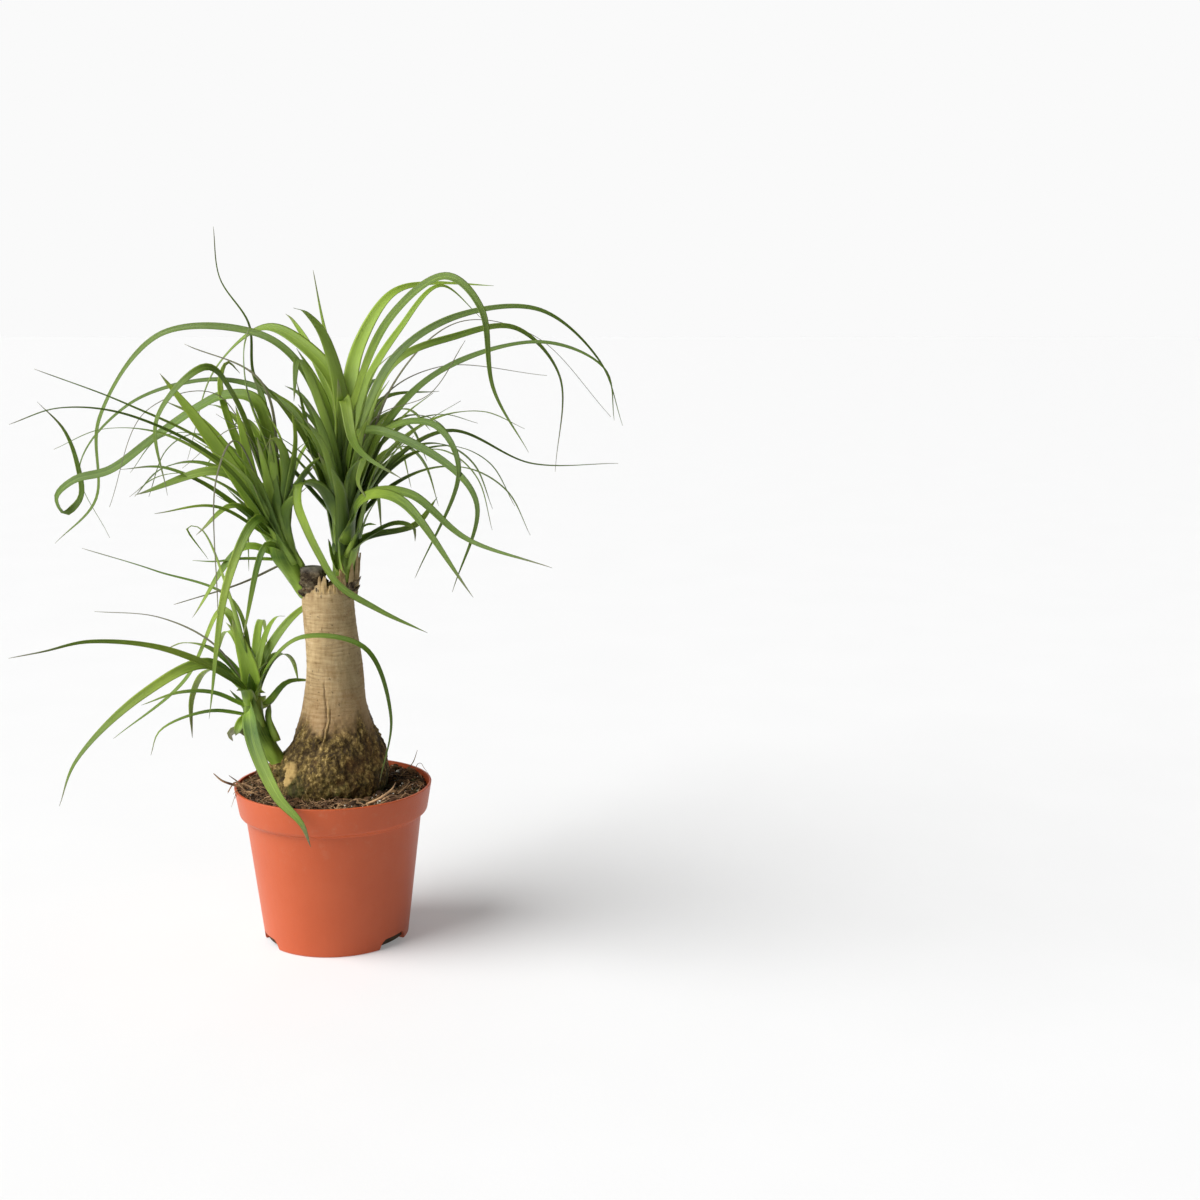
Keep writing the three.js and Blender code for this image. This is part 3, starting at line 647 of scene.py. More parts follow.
def bark_relief(height, turn, points):
    """Relief of the bark in metres, and how much dark scar colour and painted groove shade, how corky
    and how pale it is, each from 0 to 1.
    """
    ragged = rough(points * (1, 1, 0.45), 12 * MM, 4, 12.0)
    cork = np.clip((CORK_TOP + 12 * MM * ragged - height) / (15 * MM), 0, 1)
    fine = rough(points, 2.6 * MM, 4, 9.0)
    lumps = rough(points, 13 * MM, 4, 3.0)
    along_scar = height / SCAR_SPACING + 1.4 * rough(points * (1, 1, 0.35), 30 * MM, 3, 2.0)
    ridge = np.abs(2 * (along_scar % 1) - 1)
    broken = np.clip(0.25 + 2.4 * rough(points * (1, 1, 1.6), 15 * MM, 4, 6.0), 0, 1.3)
    worn = np.interp(height / MM, (135, 165, 190, 205), (1.0, 0.9, 0.6, 0.15))
    scar = np.clip((ridge - 0.6) / 0.4, 0, 1)**1.5 * broken * (1 - cork) * worn
    plates = np.clip(1 - 5 * np.abs(rough(points * (1, 1, 0.4), 9 * MM, 3, 4.0)), 0, 1)
    flakes = np.clip(1 - 4 * np.abs(rough(points * (1, 1, 0.7), 5 * MM, 2, 14.0)), 0, 1)
    furrow = np.maximum(plates, 0.6 * flakes) * cork
    aside = (turn - SPLIT_TURN + 0.05 * np.sin(height / (6 * MM))) * 22
    aside += 1.5 * rough(points * (1, 1, 0.6), 8 * MM, 3, 15.0)
    z = height / MM
    split = near(aside, -0.4, 0.55) * np.clip((166 - z) / 6, 0, 1) * np.clip((z - 120) / 6, 0, 1)
    split += 0.8 * near(aside, 2.1, 0.5) * np.clip((150 - z) / 6, 0, 1) * np.clip((z - 124) / 5, 0, 1)
    fibre = near(aside, 0.9, 0.8) * np.clip((154 - z) / 8, 0, 1) * np.clip((z - 118) / 6, 0, 1)
    streaks = rough(points * (1, 1, 0.16), 3.4 * MM, 3, 16.0) * cork * np.clip((z - 112) / 12, 0, 1)
    above = z - SCAR_PATCH[1]
    across = (points[:, 0] / MM - SCAR_PATCH[0] - 0.26 * above) * np.interp(above, (-9, 2), (2.0, 1))
    patch = np.clip(5.2 + 1.5 * fine - np.hypot(across, 0.62 * above), 0, 1) * (points[:, 1] < 0)
    relief = 0.16 * fine - 0.34 * scar + cork * (1.4 * lumps + 0.75 * fine) + 1.1 * streaks
    relief += (0.5 * fibre + 0.6 * patch) - 0.7 * furrow * (1 - patch) - 0.9 * split
    # The leaf scars are dark in their own colour; the furrows, the split and the low streaks get painted
    # shade.
    groove = np.clip(0.75 * scar + 0.9 * furrow * (1 - patch) * (1 - fibre) + 1.2 * split
                     - 1.6 * np.minimum(streaks, 0), 0, 1)
    return relief * MM, groove, cork, np.maximum(patch, 0.4 * fibre)


heights = np.linspace(TRUNK_FOOT, TRUNK_TOP, TRUNK_RINGS)
turn = np.linspace(0, 2 * math.pi, TRUNK_SIDES, endpoint=False)
trunk_rings, marks = [], []
for height in heights:
    even = trunk_ring(height, TRUNK_SIDES)
    out = even - (trunk_middle(height), 0, height)
    length = np.linalg.norm(out, axis=1)
    relief, *mark = bark_relief(height, turn, even)
    shrink = 1 - 0.12 * np.clip((height - TRUNK_TOP + 2 * MM) / (2 * MM), 0, 1)**2
    fade = np.clip((height - TRUNK_FOOT) / (6 * MM), 0, 1)
    trunk_rings.append(even + out * ((relief * fade / length) + shrink - 1)[:, None])
    marks.append(mark)
# The sawn face: rings that run in from the edge over rough, dished wood
for share in (0.78, 0.6, 0.42, 0.24, 0.08):
    face = trunk_ring(TRUNK_TOP, TRUNK_SIDES)
    face[:, :2] *= share
    face[:, 2] += (1.3 * rough(face, 5 * MM, 4, 8.0) + 0.8 - 0.5 * share) * MM
    trunk_rings.append(face)
    marks.append((np.full(TRUNK_SIDES, 0.9), np.full(TRUNK_SIDES, 0.5), np.zeros(TRUNK_SIDES)))

bark, wire = finish("bark")
place = wire.place()
groove = wire.stored("groove")
cork = wire.stored("cork")
pale = wire.stored("pale")
parts = wire.node("SeparateXYZ", {}, {"Vector": place}, "X")
banded = place.stretched(0.35, 0.35, 3).grain(210, 5, 0.65)
fibrous = place.stretched(1, 1, 0.2).grain(420, 4, 0.6)
mottle = place.grain(150, 6, 0.72)
speck = place.stretched(1, 1, 0.55).grain(500, 5, 0.75)
tan = (0.5 * banded + 0.3 * fibrous + 0.2 * mottle).ramp(
    (0.34, "7f643e"), (0.45, "b2966a"), (0.56, "c9ae82"), (0.7, "e3cea8"))
# Painted shade: the trunk's right side, away from the diffuser, is mixed towards a dull grey olive.
right_side_painted_shade = (parts["X"] - 0.006 + 0.03 * mottle).between(0.0, 0.026)
tan = (0.55 * right_side_painted_shade).mix(tan, "7d7252")
blotch = place.grain(75, 4, 0.6).between(0.56, 0.66)
tan = (0.4 * blotch).mix(tan, "8c6a41")
browned = (parts["Z"] + 0.02 * mottle).between(0.132, 0.186)
tan = (0.5 * (1 - browned)).mix(tan, "916a44")
corky = (mottle * 0.35 + speck * 0.65).ramp((0.38, "241a07"), (0.47, "54421d"),
                                            (0.54, "86703a"), (0.62, "cbae72"))
foot = 1 - parts["Z"].between(0.094, 0.116)
moss = (foot * 0.85 * place.grain(70, 4).between(0.42, 0.6)).mix(corky, "3c4414")
rust = place.grain(48, 3).between(0.52, 0.68)
mixed = cork.mix(tan, (0.45 * rust).mix(moss, "5f3a1c"))
# Painted shade in the bark's furrows and split, together with the dark leaf scars.
mixed = (groove * (0.38 + 0.45 * cork)).mix(mixed, "33240f")
fleck = place.grain(360, 2).between(0.66, 0.72)
mixed = (fleck * 0.5).mix(mixed, "3d2f1e")
mixed = (pale * 0.9).mix(mixed, (0.5 * speck + 0.5 * fibrous).mix("8e6a34", "efcf86"))
surface(wire, 0.5 * mottle + 0.25 * banded + 0.4 * speck, 1.1 * MM, mixed,
        0.72 + 0.2 * mottle - 0.1 * pale, specular_ior_level=0.3)
trunk = piece("trunk_bark", *skin(trunk_rings), bark, "bark", "trunk", 70)
for name, values in zip(("groove", "cork", "pale"), zip(*marks)):
    give(trunk, **{name: np.concatenate(values)})

# The offset's collar: a corky knob that the caudex has grown round the foot of the young shoot. It
# is three rough lumps of the same bark, sunk into the caudex.
COLLAR_LUMPS = [((-31, -5, 104), (17, 17, 17)), ((-27, -8, 99), (16, 16, 16)),
                ((-33, -8, 98.5), (13, 13, 12))]


def chunk(at, size, seed):
    """A flaky lump, (across, deep, tall) as `size` says, in millimetres."""
    ball = bmesh.new()
    bmesh.ops.create_icosphere(ball, subdivisions=4, radius=0.5)
    points = np.array([v.co for v in ball.verts])
    faces = [tuple(v.index for v in f.verts) for f in ball.faces]
    ball.free()
    dent = rough(points * (1, 1, 0.9), 0.4, 5, seed)[:, None]
    return (points * (1 + 0.45 * dent) * size + at) * MM, faces


knobs = [chunk(at, size, 51.0 + n) for n, (at, size) in enumerate(COLLAR_LUMPS)]
collar = piece("offset_collar", *joined(knobs), bark, "bark", "trunk", 60)
count = len(collar.data.vertices)
give(collar, groove=np.full(count, 0.1), cork=np.ones(count), pale=np.zeros(count))

# The old stub is dead wood, dry, grey and cracked, left where the main stem was sawn off: a lumpy
# core that hangs a little over the front of the cut, a few splinters, and dark flakes that stick
# out below the right shoot.
STUB_PLACE = (-8.8, -3.5)
STUB_SIDES = 72
STUB_CORE = [(214, 7.4), (219, 8.4), (223, 8.3), (227, 7.9), (230, 6.8), (231.4, 5), (231.2, 2),
             (230.6, 0.6)]     # height and radius
SPLINTERS = 34
# Place and size of the lumps: over the front rim, up to the left shoot, and under the right one
STUB_LUMPS = [((-8.6, -9.5, 221), (12, 6, 9)), ((-4, -12.6, 216.5), (3.2, 2.6, 8)),
              ((-12.4, -5.5, 225), (4, 4, 8)), ((-14.8, -3.6, 230), (2.2, 2.2, 7)),
              ((14, -6.5, 219), (5, 5, 6.5)), ((15.5, -2, 217.5), (5, 6, 5))]
# Each pointed flake runs through three points
STUB_FLAKES = [((13, -6, 220), (17, -6.4, 221.5), (20.4, -6, 225)),
               ((14, -4, 217), (17.6, -4.2, 217.8), (19.8, -4, 220.4)),
               ((14, -7, 214.5), (16.6, -7.6, 214.6), (18.6, -7, 216.4)),
               ((13, 3, 219), (16.8, 4.5, 220.5), (19, 6, 224))]

dead_wood, wire = finish("dead_wood")
place = wire.place()
fibre = place.stretched(0.6, 0.6, 1.2).grain(620, 4, 0.6)
blotch = place.grain(210, 5, 0.7)
grey = (0.4 * fibre + 0.6 * blotch).ramp((0.38, "1f1810"), (0.48, "493c2c"),
                                         (0.58, "71664f"), (0.74, "a69d86"))
rust = (place.grain(210, 2).between(0.56, 0.66) * 0.25).mix(grey, "7c5330")
height = wire.node("SeparateXYZ", {}, {"Vector": place}, "Z")
bleached = (height + 0.004 * blotch).between(0.229, 0.234)
wood = (bleached * 0.6).mix(rust, "8d8a7f")
surface(wire, 0.5 * fibre + 0.5 * blotch, 0.8 * MM, wood, 0.85 + 0.1 * fibre, specular_ior_level=0.25)

core = []
for z, radius in spine(STUB_CORE, 60):
    even = ring(radius * MM, z * MM, STUB_SIDES, *(MM * c for c in STUB_PLACE))
    dent = 1 + 0.2 * rough(even * (1, 1, 2.2), 8 * MM, 4, 1.0) + 0.2 * rough(even, 5 * MM, 3, 2.0)
    middle = np.array((STUB_PLACE[0] * MM, STUB_PLACE[1] * MM, z * MM))
    core.append(middle + (even - middle) * dent[:, None])
stub = [skin(core)]
draw = np.random.default_rng(21)
for _ in range(SPLINTERS):
    turn, out = draw.uniform(0, 2 * math.pi), draw.uniform(4.5, 7.8)
    x, y = STUB_PLACE[0] + out * math.cos(turn), STUB_PLACE[1] + out * math.sin(turn)
    tall = draw.uniform(2, 8) * (1.2 - out / 16)
    lean = draw.normal(0, 1.1, 2)
    line = spine([(x, y, 214), (x + lean[0] * 0.3, y + lean[1] * 0.3, 217 + tall * 0.5),
                  (x + lean[0], y + lean[1], 218 + tall * 1.15)], 10) * MM
    width = draw.uniform(0.35, 0.9) * MM
    stub.append(tube(line, width * (1 - 0.85 * np.linspace(0, 1, 10)), 5))
stub += [chunk(at, size, 31.0 + n) for n, (at, size) in enumerate(STUB_LUMPS)]
for n, points in enumerate(STUB_FLAKES):
    body, faces = tube(spine(points, 16) * MM, 2.1 * MM * (1 - 0.93 * np.linspace(0, 1, 16)), 12)
    stub.append((body + 0.5 * MM * rough(body, 2 * MM, 3, 3.0 + n)[:, None], faces))
piece("old_stub", *joined(stub), dead_wood, "bark", "trunk", 60)

# The torn bark: dry tan bark that was ripped, not cut, when the old stem came off. It stands above
# the saw cut as a ragged fibrous wall, highest round the right shoot.
RIM_SIDES = 420
RIM_STEPS = 14
# Its rise in millimetres at each heading in degrees, from the right anticlockwise
RIM_RISE = [(0, 15), (25, 8), (60, 4), (110, 2), (180, 2), (204, 9), (213, 4), (232, 3.4), (250, 3.8),
            (259, 9), (272, 8), (282, 6), (300, 8), (318, 12), (335, 19), (350, 18)]

turn = np.linspace(0, 2 * math.pi, RIM_SIDES, endpoint=False)
even = trunk_ring(TRUNK_TOP, RIM_SIDES)
rise = np.interp(np.degrees(turn), *np.array(RIM_RISE).T, period=360)
torn = 0.55 * rough(even, 5 * MM, 3, 3.0) + 0.5 * rough(even, 1.4 * MM, 3, 5.0)
rise = np.maximum(0.8, rise * (1 + torn) + 0.5 * rough(even, 0.8 * MM, 2, 6.0))
wall = []
for side in (1, -1):
    for t in np.linspace(0, 1, RIM_STEPS)[::side]:
        shrunk = 0.985 - 0.1 * t**1.5 - (0.16 * (1 - 0.62 * t) if side < 0 else 0)
        level = even * (shrunk, shrunk, 1)
        level[:, 2] += MM * ((4 + rise) * t - 4)
        fibre = rough(level * (1, 1, 0.25), 1.6 * MM, 3, 4.0)
        level[:, :2] *= (1 + 0.03 * side * fibre * (0.4 + t))[:, None]
        wall.append(level)
count = len(wall)
faces = [(k * RIM_SIDES + s, k * RIM_SIDES + (s + 1) % RIM_SIDES,
          (k + 1) % count * RIM_SIDES + (s + 1) % RIM_SIDES, (k + 1) % count * RIM_SIDES + s)
         for k in range(count) for s in range(RIM_SIDES)]
made = piece("torn_bark", np.vstack(wall), faces, bark, "bark", "trunk", 60)
frayed = rough(np.vstack(wall) * (1, 1, 0.3), 1.3 * MM, 3, 4.0)
give(made, groove=np.clip(0.15 - 0.9 * frayed, 0, 0.8), cork=np.zeros(len(frayed)),
     pale=np.clip(0.2 + 0.5 * frayed, 0, 0.5))

# The dry strips: papery brown remains of the right shoot's oldest leaf bases. They cling to its
# foot and stand up behind the torn bark.
STRIP_STATIONS = 24
STRIP_SIDES = 14
# Heading in degrees, height of the top and half the width in millimetres
STRIPS = [(-82, 226, 2), (-52, 236, 2.4), (-26, 243, 2.2), (2, 239, 2.6), (36, 231, 2.4), (84, 226, 2.6),
          (140, 224, 2.4)]

strips = []
for heading, top, wide in STRIPS:
    out = np.array((math.cos(math.radians(heading)), math.sin(math.radians(heading)), 0))
    marks = [out * 7.8 + (9, 0, 212), out * 8.7 + (9.6, 0, 222), out * 9.6 + (10, 0, top)]
    line = spine(marks, STRIP_STATIONS) * MM
    body, faces = tube(line, np.full(STRIP_STATIONS, 0.45 * MM), STRIP_SIDES)
    aside = np.array((-out[1], out[0], 0))
    spread = (body - np.repeat(line, STRIP_SIDES, axis=0)) @ aside
    taper = 2.2 * wide * (1 - np.linspace(0, 0.97, STRIP_STATIONS)**2.5) - 1
    frayed = 0.35 * MM * rough(body * (1, 1, 0.3), 2 * MM, 3, 8.0)
    body += (spread * np.repeat(taper, STRIP_SIDES))[:, None] * aside + frayed[:, None]
    strips.append((body, faces))
made = piece("dry_strips", *joined(strips), bark, "bark", "trunk", 60)
count = len(made.data.vertices)
give(made, groove=np.full(count, 0.35), cork=np.zeros(count), pale=np.full(count, 0.1))

# The leaves: long arching straps, channelled along their middle and finely veined, that clasp the
# shoot with a pale, wider base and dry to a grey thread at the tip. They grow in a dense rosette
# round each shoot, the youngest upright in its heart.
LEAF_STEP = 3.4                # millimetres of leaf between two rings
TWIST_RUN = 0.2                # share of a leaf's length over which it turns to its twist
LONG_LEAF = 190                # a leaf this long narrows all the way from its root
SHORT_LEAF = 120               # one this short keeps its width until near its tip
CUT_LEAF = 28                  # and one this short was cut off blunt
THREAD = 0.42                  # half the width of a dried tip
RUN_SCALE = 250                # `run` is 1 this far along a leaf
CLASP = 1.3                    # how much closer a sheath wraps the shoot than a leaf does
# Places across the upper side, from edge to edge; the underside has the inner five
COLUMNS = (1, 0.74, 0.4, 0, -0.4, -0.74, -1)
GOLDEN_TURN = math.radians(137.508)


def blade(row, draw, dry=None, clasp=1.0, full=None, tone=None):
    """A leaf: its points and faces, its map across and along, and its tone, dryness and run. `row`
    is its width, its twist towards the front in degrees, and points from root to tip."""
    width, twist, *points = row
    points = np.array(points, float)
    length = np.linalg.norm(np.diff(spine(points, 60), axis=0), axis=1).sum()
    count = int(np.clip(length / LEAF_STEP, 9, 95))
    at = spine(points, count)
    along = np.gradient(at, axis=0)
    along /= np.linalg.norm(along, axis=1)[:, None]
    share = np.linspace(0, 1, count)
    run = share * length
    # The upper side faces the shoot's tip at the root, turns to its twist, and rolls a little
    upper = at[0] - at[count // 2]
    upper[2] = 0
    front = np.array((0.0, -1.0, 0.0))
    phase = draw.uniform(0, 2 * math.pi, 3)
    roll = math.radians(7) * np.sin(run / 31 + phase[0]) * np.minimum(1, run / 40)
    sides, faces_up = [], []
    for k in range(count):
        upper = upper - along[k] * (upper @ along[k])
        upper /= np.linalg.norm(upper)
        towards = front - along[k] * (front @ along[k])
        towards /= np.linalg.norm(towards)
        turn = math.radians(twist) * min(1, share[k] / TWIST_RUN)
        face = upper * math.cos(turn) + towards * math.sin(turn)
        face /= np.linalg.norm(face)
        side = np.cross(face, along[k])
        sides.append(side * math.cos(roll[k]) + face * math.sin(roll[k]))
        faces_up.append(face * math.cos(roll[k]) - side * math.sin(roll[k]))
    side, face = np.array(sides)[:, None], np.array(faces_up)[:, None]
    # Half the width at each ring, how far the channel curls, and the thickness
    longer = np.clip((length - SHORT_LEAF) / (LONG_LEAF - SHORT_LEAF), 0, 1)
    fullness = 7 if length < CUT_LEAF else 1 + 1.4 * (1 - longer * longer * (3 - 2 * longer))
    fullness = fullness if full is None else full
    half = width / 2 * (1 - share**fullness)**0.85 * (1 + 0.3 * clasp * np.exp(-(run / 14)**2))
    half = np.maximum(half, THREAD * (1 - 0.8 * share**30))[:, None]
    curl = (0.3 + 0.45 * (1 - share) + 0.9 * clasp * np.exp(-(run / 15)**1.6))[:, None]
    thick = (0.26 + 0.44 * (1 - share))[:, None]
    a = np.array(COLUMNS)
    wave = 0.34 * np.sin(run / 9 + phase[1])[:, None] * np.minimum(1, run / 50)[:, None]
    ripple = np.where(a > 0, wave, -wave * math.cos(phase[2])) * np.abs(a)**3 * half / 5
    across = half / curl * np.sin(a * curl)
    lift = half / curl * (1 - np.cos(a * curl)) + ripple
    middle = at[:, None] + side * across[..., None] + face * lift[..., None]
    out = face * np.cos(a * curl)[..., None] - side * np.sin(a * curl)[..., None]
    body = (thick / 2 * (1 - np.abs(a)**3))[..., None]
    over = middle + out * body
    beneath = (middle - out * body)[:, -2:0:-1]
    rings = np.concatenate([over, beneath], axis=1) * MM
    made, faces = skin(list(rings))
    columns = rings.shape[1]
    # The map: across from 0 to 1 round the leaf, and along from root to tip
    u = np.arange(columns + 1) / columns
    corners = []
    for k in range(count - 1):
        for s in range(columns):
            corners += [(u[s], share[k]), (u[s + 1], share[k]), (u[s + 1], share[k + 1]),
                        (u[s], share[k + 1])]
    corners += [(u[s], share[0]) for s in range(columns)]
    corners += [(u[s], share[-1]) for s in range(columns)]
    start = draw.uniform(0.8, 1.0)
    tip = np.clip((share - start) / (1.02 - start), 0, 1)**0.7
    own_tone = draw.uniform()
    values = {"tone": np.full(count, own_tone if tone is None else tone),
              "dry": tip if dry is None else np.full(count, dry), "run": run / RUN_SCALE}
    return made, faces, corners, {name: np.repeat(v, columns) for name, v in values.items()}


def foliage(name, blades, material, node):
    """Leaves as one mesh that stands for a rosette."""
    made = piece(name, *joined([(points, faces) for points, faces, _, _ in blades]), material,
                 "leaf", node, 180)
    layer = made.data.uv_layers.new(name="leaf")
    corners = np.array([corner for _, _, some, _ in blades for corner in some], np.float32)
    layer.data.foreach_set("uv", corners.ravel())
    give(made, **{key: np.concatenate([values[key] for _, _, _, values in blades])
                  for key in ("tone", "dry", "run")})


def fill_rows(seed, count, root, heading, spread, reach):
    """Arching leaves that share a rosette's far side evenly, written like the rows below."""
    state = seed
    rows = []
    for n in range(count):
        lots = []
        for _ in range(4):
            state = state * 16807 % 2147483647
            lots.append(state / 2147483647)
        turn = math.radians(heading + spread * (2 * ((n * 0.618) % 1) - 1))
        length = reach * (0.75 + 0.4 * lots[0])
        rise, droop, width = 1.45 - 0.8 * lots[1], 1.5 + 1.1 * lots[2], 4.5 + 4.5 * lots[3]
        points = [root]
        for k in range(5):
            slope = rise - droop * ((k + 0.5) / 5)**1.3
            x, y, z = points[k]
            out = length / 5 * math.cos(slope)
            points.append([x + out * math.cos(turn), y + out * math.sin(turn),
                           z + length / 5 * math.sin(slope)])
        rows.append([width, 0, *points])
    return rows


def heart_rows(seed, count, root, reach, lean):
    """Young leaves that stand round the tip of a shoot, the inner ones straighter."""
    draw = np.random.default_rng(seed)
    rows = []
    for n in range(count):
        turn = n * GOLDEN_TURN
        tilt = math.radians(6 + lean * (n / count)**0.8)
        length = reach * draw.uniform(0.62, 1.0)
        points = [[root[0] + 1.5 * math.cos(turn), root[1] + 1.5 * math.sin(turn),
                   root[2] - 10 * n / count]]
        for k in range(5):
            away = tilt + (0.5 + 0.7 * draw.uniform()) * (k / 5)**2
            x, y, z = points[k]
            out = length / 5 * math.sin(away)
            points.append([x + out * math.cos(turn), y + out * math.sin(turn),
                           z + length / 5 * math.cos(away)])
        rows.append([draw.uniform(5.5, 9), 0, *points])
    return rows


def sheath_rows(seed, count, stem, length, first=4, last=38):
    """Short bases of old leaves that wrap the stem one over another, from one station to another."""
    draw = np.random.default_rng(seed)
    line = spine(stem, 60)
    rows = []
    for n in range(count):
        k = int(first + (last - first) * n / count)
        middle, radius = line[k, :3], line[k, 3]
        up = line[k + 6, :3] - middle
        up /= np.linalg.norm(up)
        turn = n * GOLDEN_TURN + draw.normal(0, 0.2)
        out = np.array((math.cos(turn), math.sin(turn), 0.0))
        tall = length * draw.uniform(0.7, 1.2)
        flare = draw.uniform(0.2, 0.6) * tall
        rows.append([min(9.5, radius * draw.uniform(1.1, 1.5)), 0, middle + out * (radius * 0.6),
                     middle + out * (radius * 0.95) + up * min(16, tall * 0.4),
                     middle + out * (radius + 0.3 * flare) + up * tall * 0.7,
                     middle + out * (radius + flare) + up * tall * 0.98])
    return rows


def grown(draw, rows, kinds, hearts, tones, sheaths):
    """All leaves of a shoot. A thread-like one is dry, and a heart leaf takes its tone from `tones`."""
    leaves = [blade(row, draw, 0.9 if row[0] < 3 else None, **kinds.get(n, {}))
              for n, row in enumerate(rows)]
    leaves += [blade(row, draw, tone=tone) for row, tone in zip(hearts, tones)]
    return leaves + [blade(row, draw, clasp=CLASP) for row in sheaths]


def leaf_finish(name, heart, middle, outer, lit):
    """Green strap leaf: veined, paler at its root, along its midrib and below, dry at the tip, with
    painted shade in its rosette's core and painted light further out.
    """
    made, wire = finish(name)
    place = wire.node("SeparateXYZ", {}, {"Vector": wire.place("UV")}, "X")
    tone = wire.stored("tone")
    dry = wire.stored("dry")
    run = wire.stored("run")
    lined = wire.node("CombineXYZ", {}, {"X": place["X"] * 84, "Y": run * 9, "Z": tone * 31})
    veins = lined.grain(1, 3, 0.6)
    wide = wire.node("CombineXYZ", {}, {"X": place["X"] * 3, "Y": run * 14, "Z": tone * 57})
    cloud = wide.grain(1, 3)
    # Along the leaf: the pale root, then painted shade of the rosette's core in the `outer` green, a
    # painted lit band where the leaf comes out of it, and then the leaf's own greens.
    green = (run * (0.75 + 0.5 * tone) + 0.16 * cloud - 0.06).ramp(
        (0.0, "c3cf74"), (0.035, heart), (0.13, outer), (0.3, lit), (0.48, middle), (0.8, "586e27"))
    # A low tone brightens a leaf and a high one darkens it: partly youth and age, partly painted light
    # and shade.
    young_and_lit = (0.7 * (1 - tone.between(0.04, 0.34))).mix(green, heart)
    aged_and_shaded = (0.5 * tone.between(0.42, 1.0)).mix(young_and_lit, outer)
    vein = (0.4 * veins.between(0.5, 0.72)).mix(aged_and_shaded, heart)
    off_middle = (place["X"] - 0.25).maths("ABSOLUTE", place["X"] - 0.25)
    rib = (1 - off_middle.between(0.008, 0.024)) * 0.16
    ribbed = rib.mix(vein, heart)
    under = place["X"] > 0.5
    below = (under * 0.22).mix(ribbed, "7f9650")
    withered = veins.ramp((0.3, "4f4844"), (0.52, "716860"), (0.75, "9c8f7a"))
    colour = (dry * (0.75 + 0.25 * cloud)).mix(below, withered)
    surface(wire, veins, 0.22 * MM, colour, 0.43 + 0.12 * veins + 0.3 * dry,
            subsurface_weight=0.2, subsurface_radius=(0.9, 1.0, 0.25), subsurface_scale=1.2 * MM,
            specular_ior_level=0.33)
    return made


def stem_body(name, stem, material, node):
    """The fleshy core of a shoot, with shallow ridges where leaf bases press on it."""
    stations, sides = 44, 40
    turn = np.linspace(0, 2 * math.pi, sides, endpoint=False)
    rings = []
    for x, y, z, radius in spine(stem, stations):
        swell = 1 + 0.05 * np.sin(3 * turn + z * 0.25) + 0.03 * np.sin(7 * turn - z * 0.4)
        rings.append(ring(radius * 0.92 * swell, z, sides, x, y) * MM)
    made = piece(name, *skin(rings), material, "leaf", node, 180)
    height = np.repeat(np.linspace(0, 1, stations), sides)
    layer = made.data.uv_layers.new(name="leaf")
    corners = [(vertex % sides / (2 * sides), height[vertex])
               for polygon in made.data.polygons for vertex in polygon.vertices]
    layer.data.foreach_set("uv", np.array(corners, np.float32).ravel())
    give(made, tone=0.3 + 0 * height, dry=np.clip(0.5 - 6 * height, 0, 1), run=0.015 + 0.24 * height)


soft_green = leaf_finish("leaf_soft_green", "9fbc46", "5d7523",
                         "426113", "869a36")
deep_green = leaf_finish("leaf_deep_green", "98b443", "556c21",
                         "2f4c0c", "798e2e")

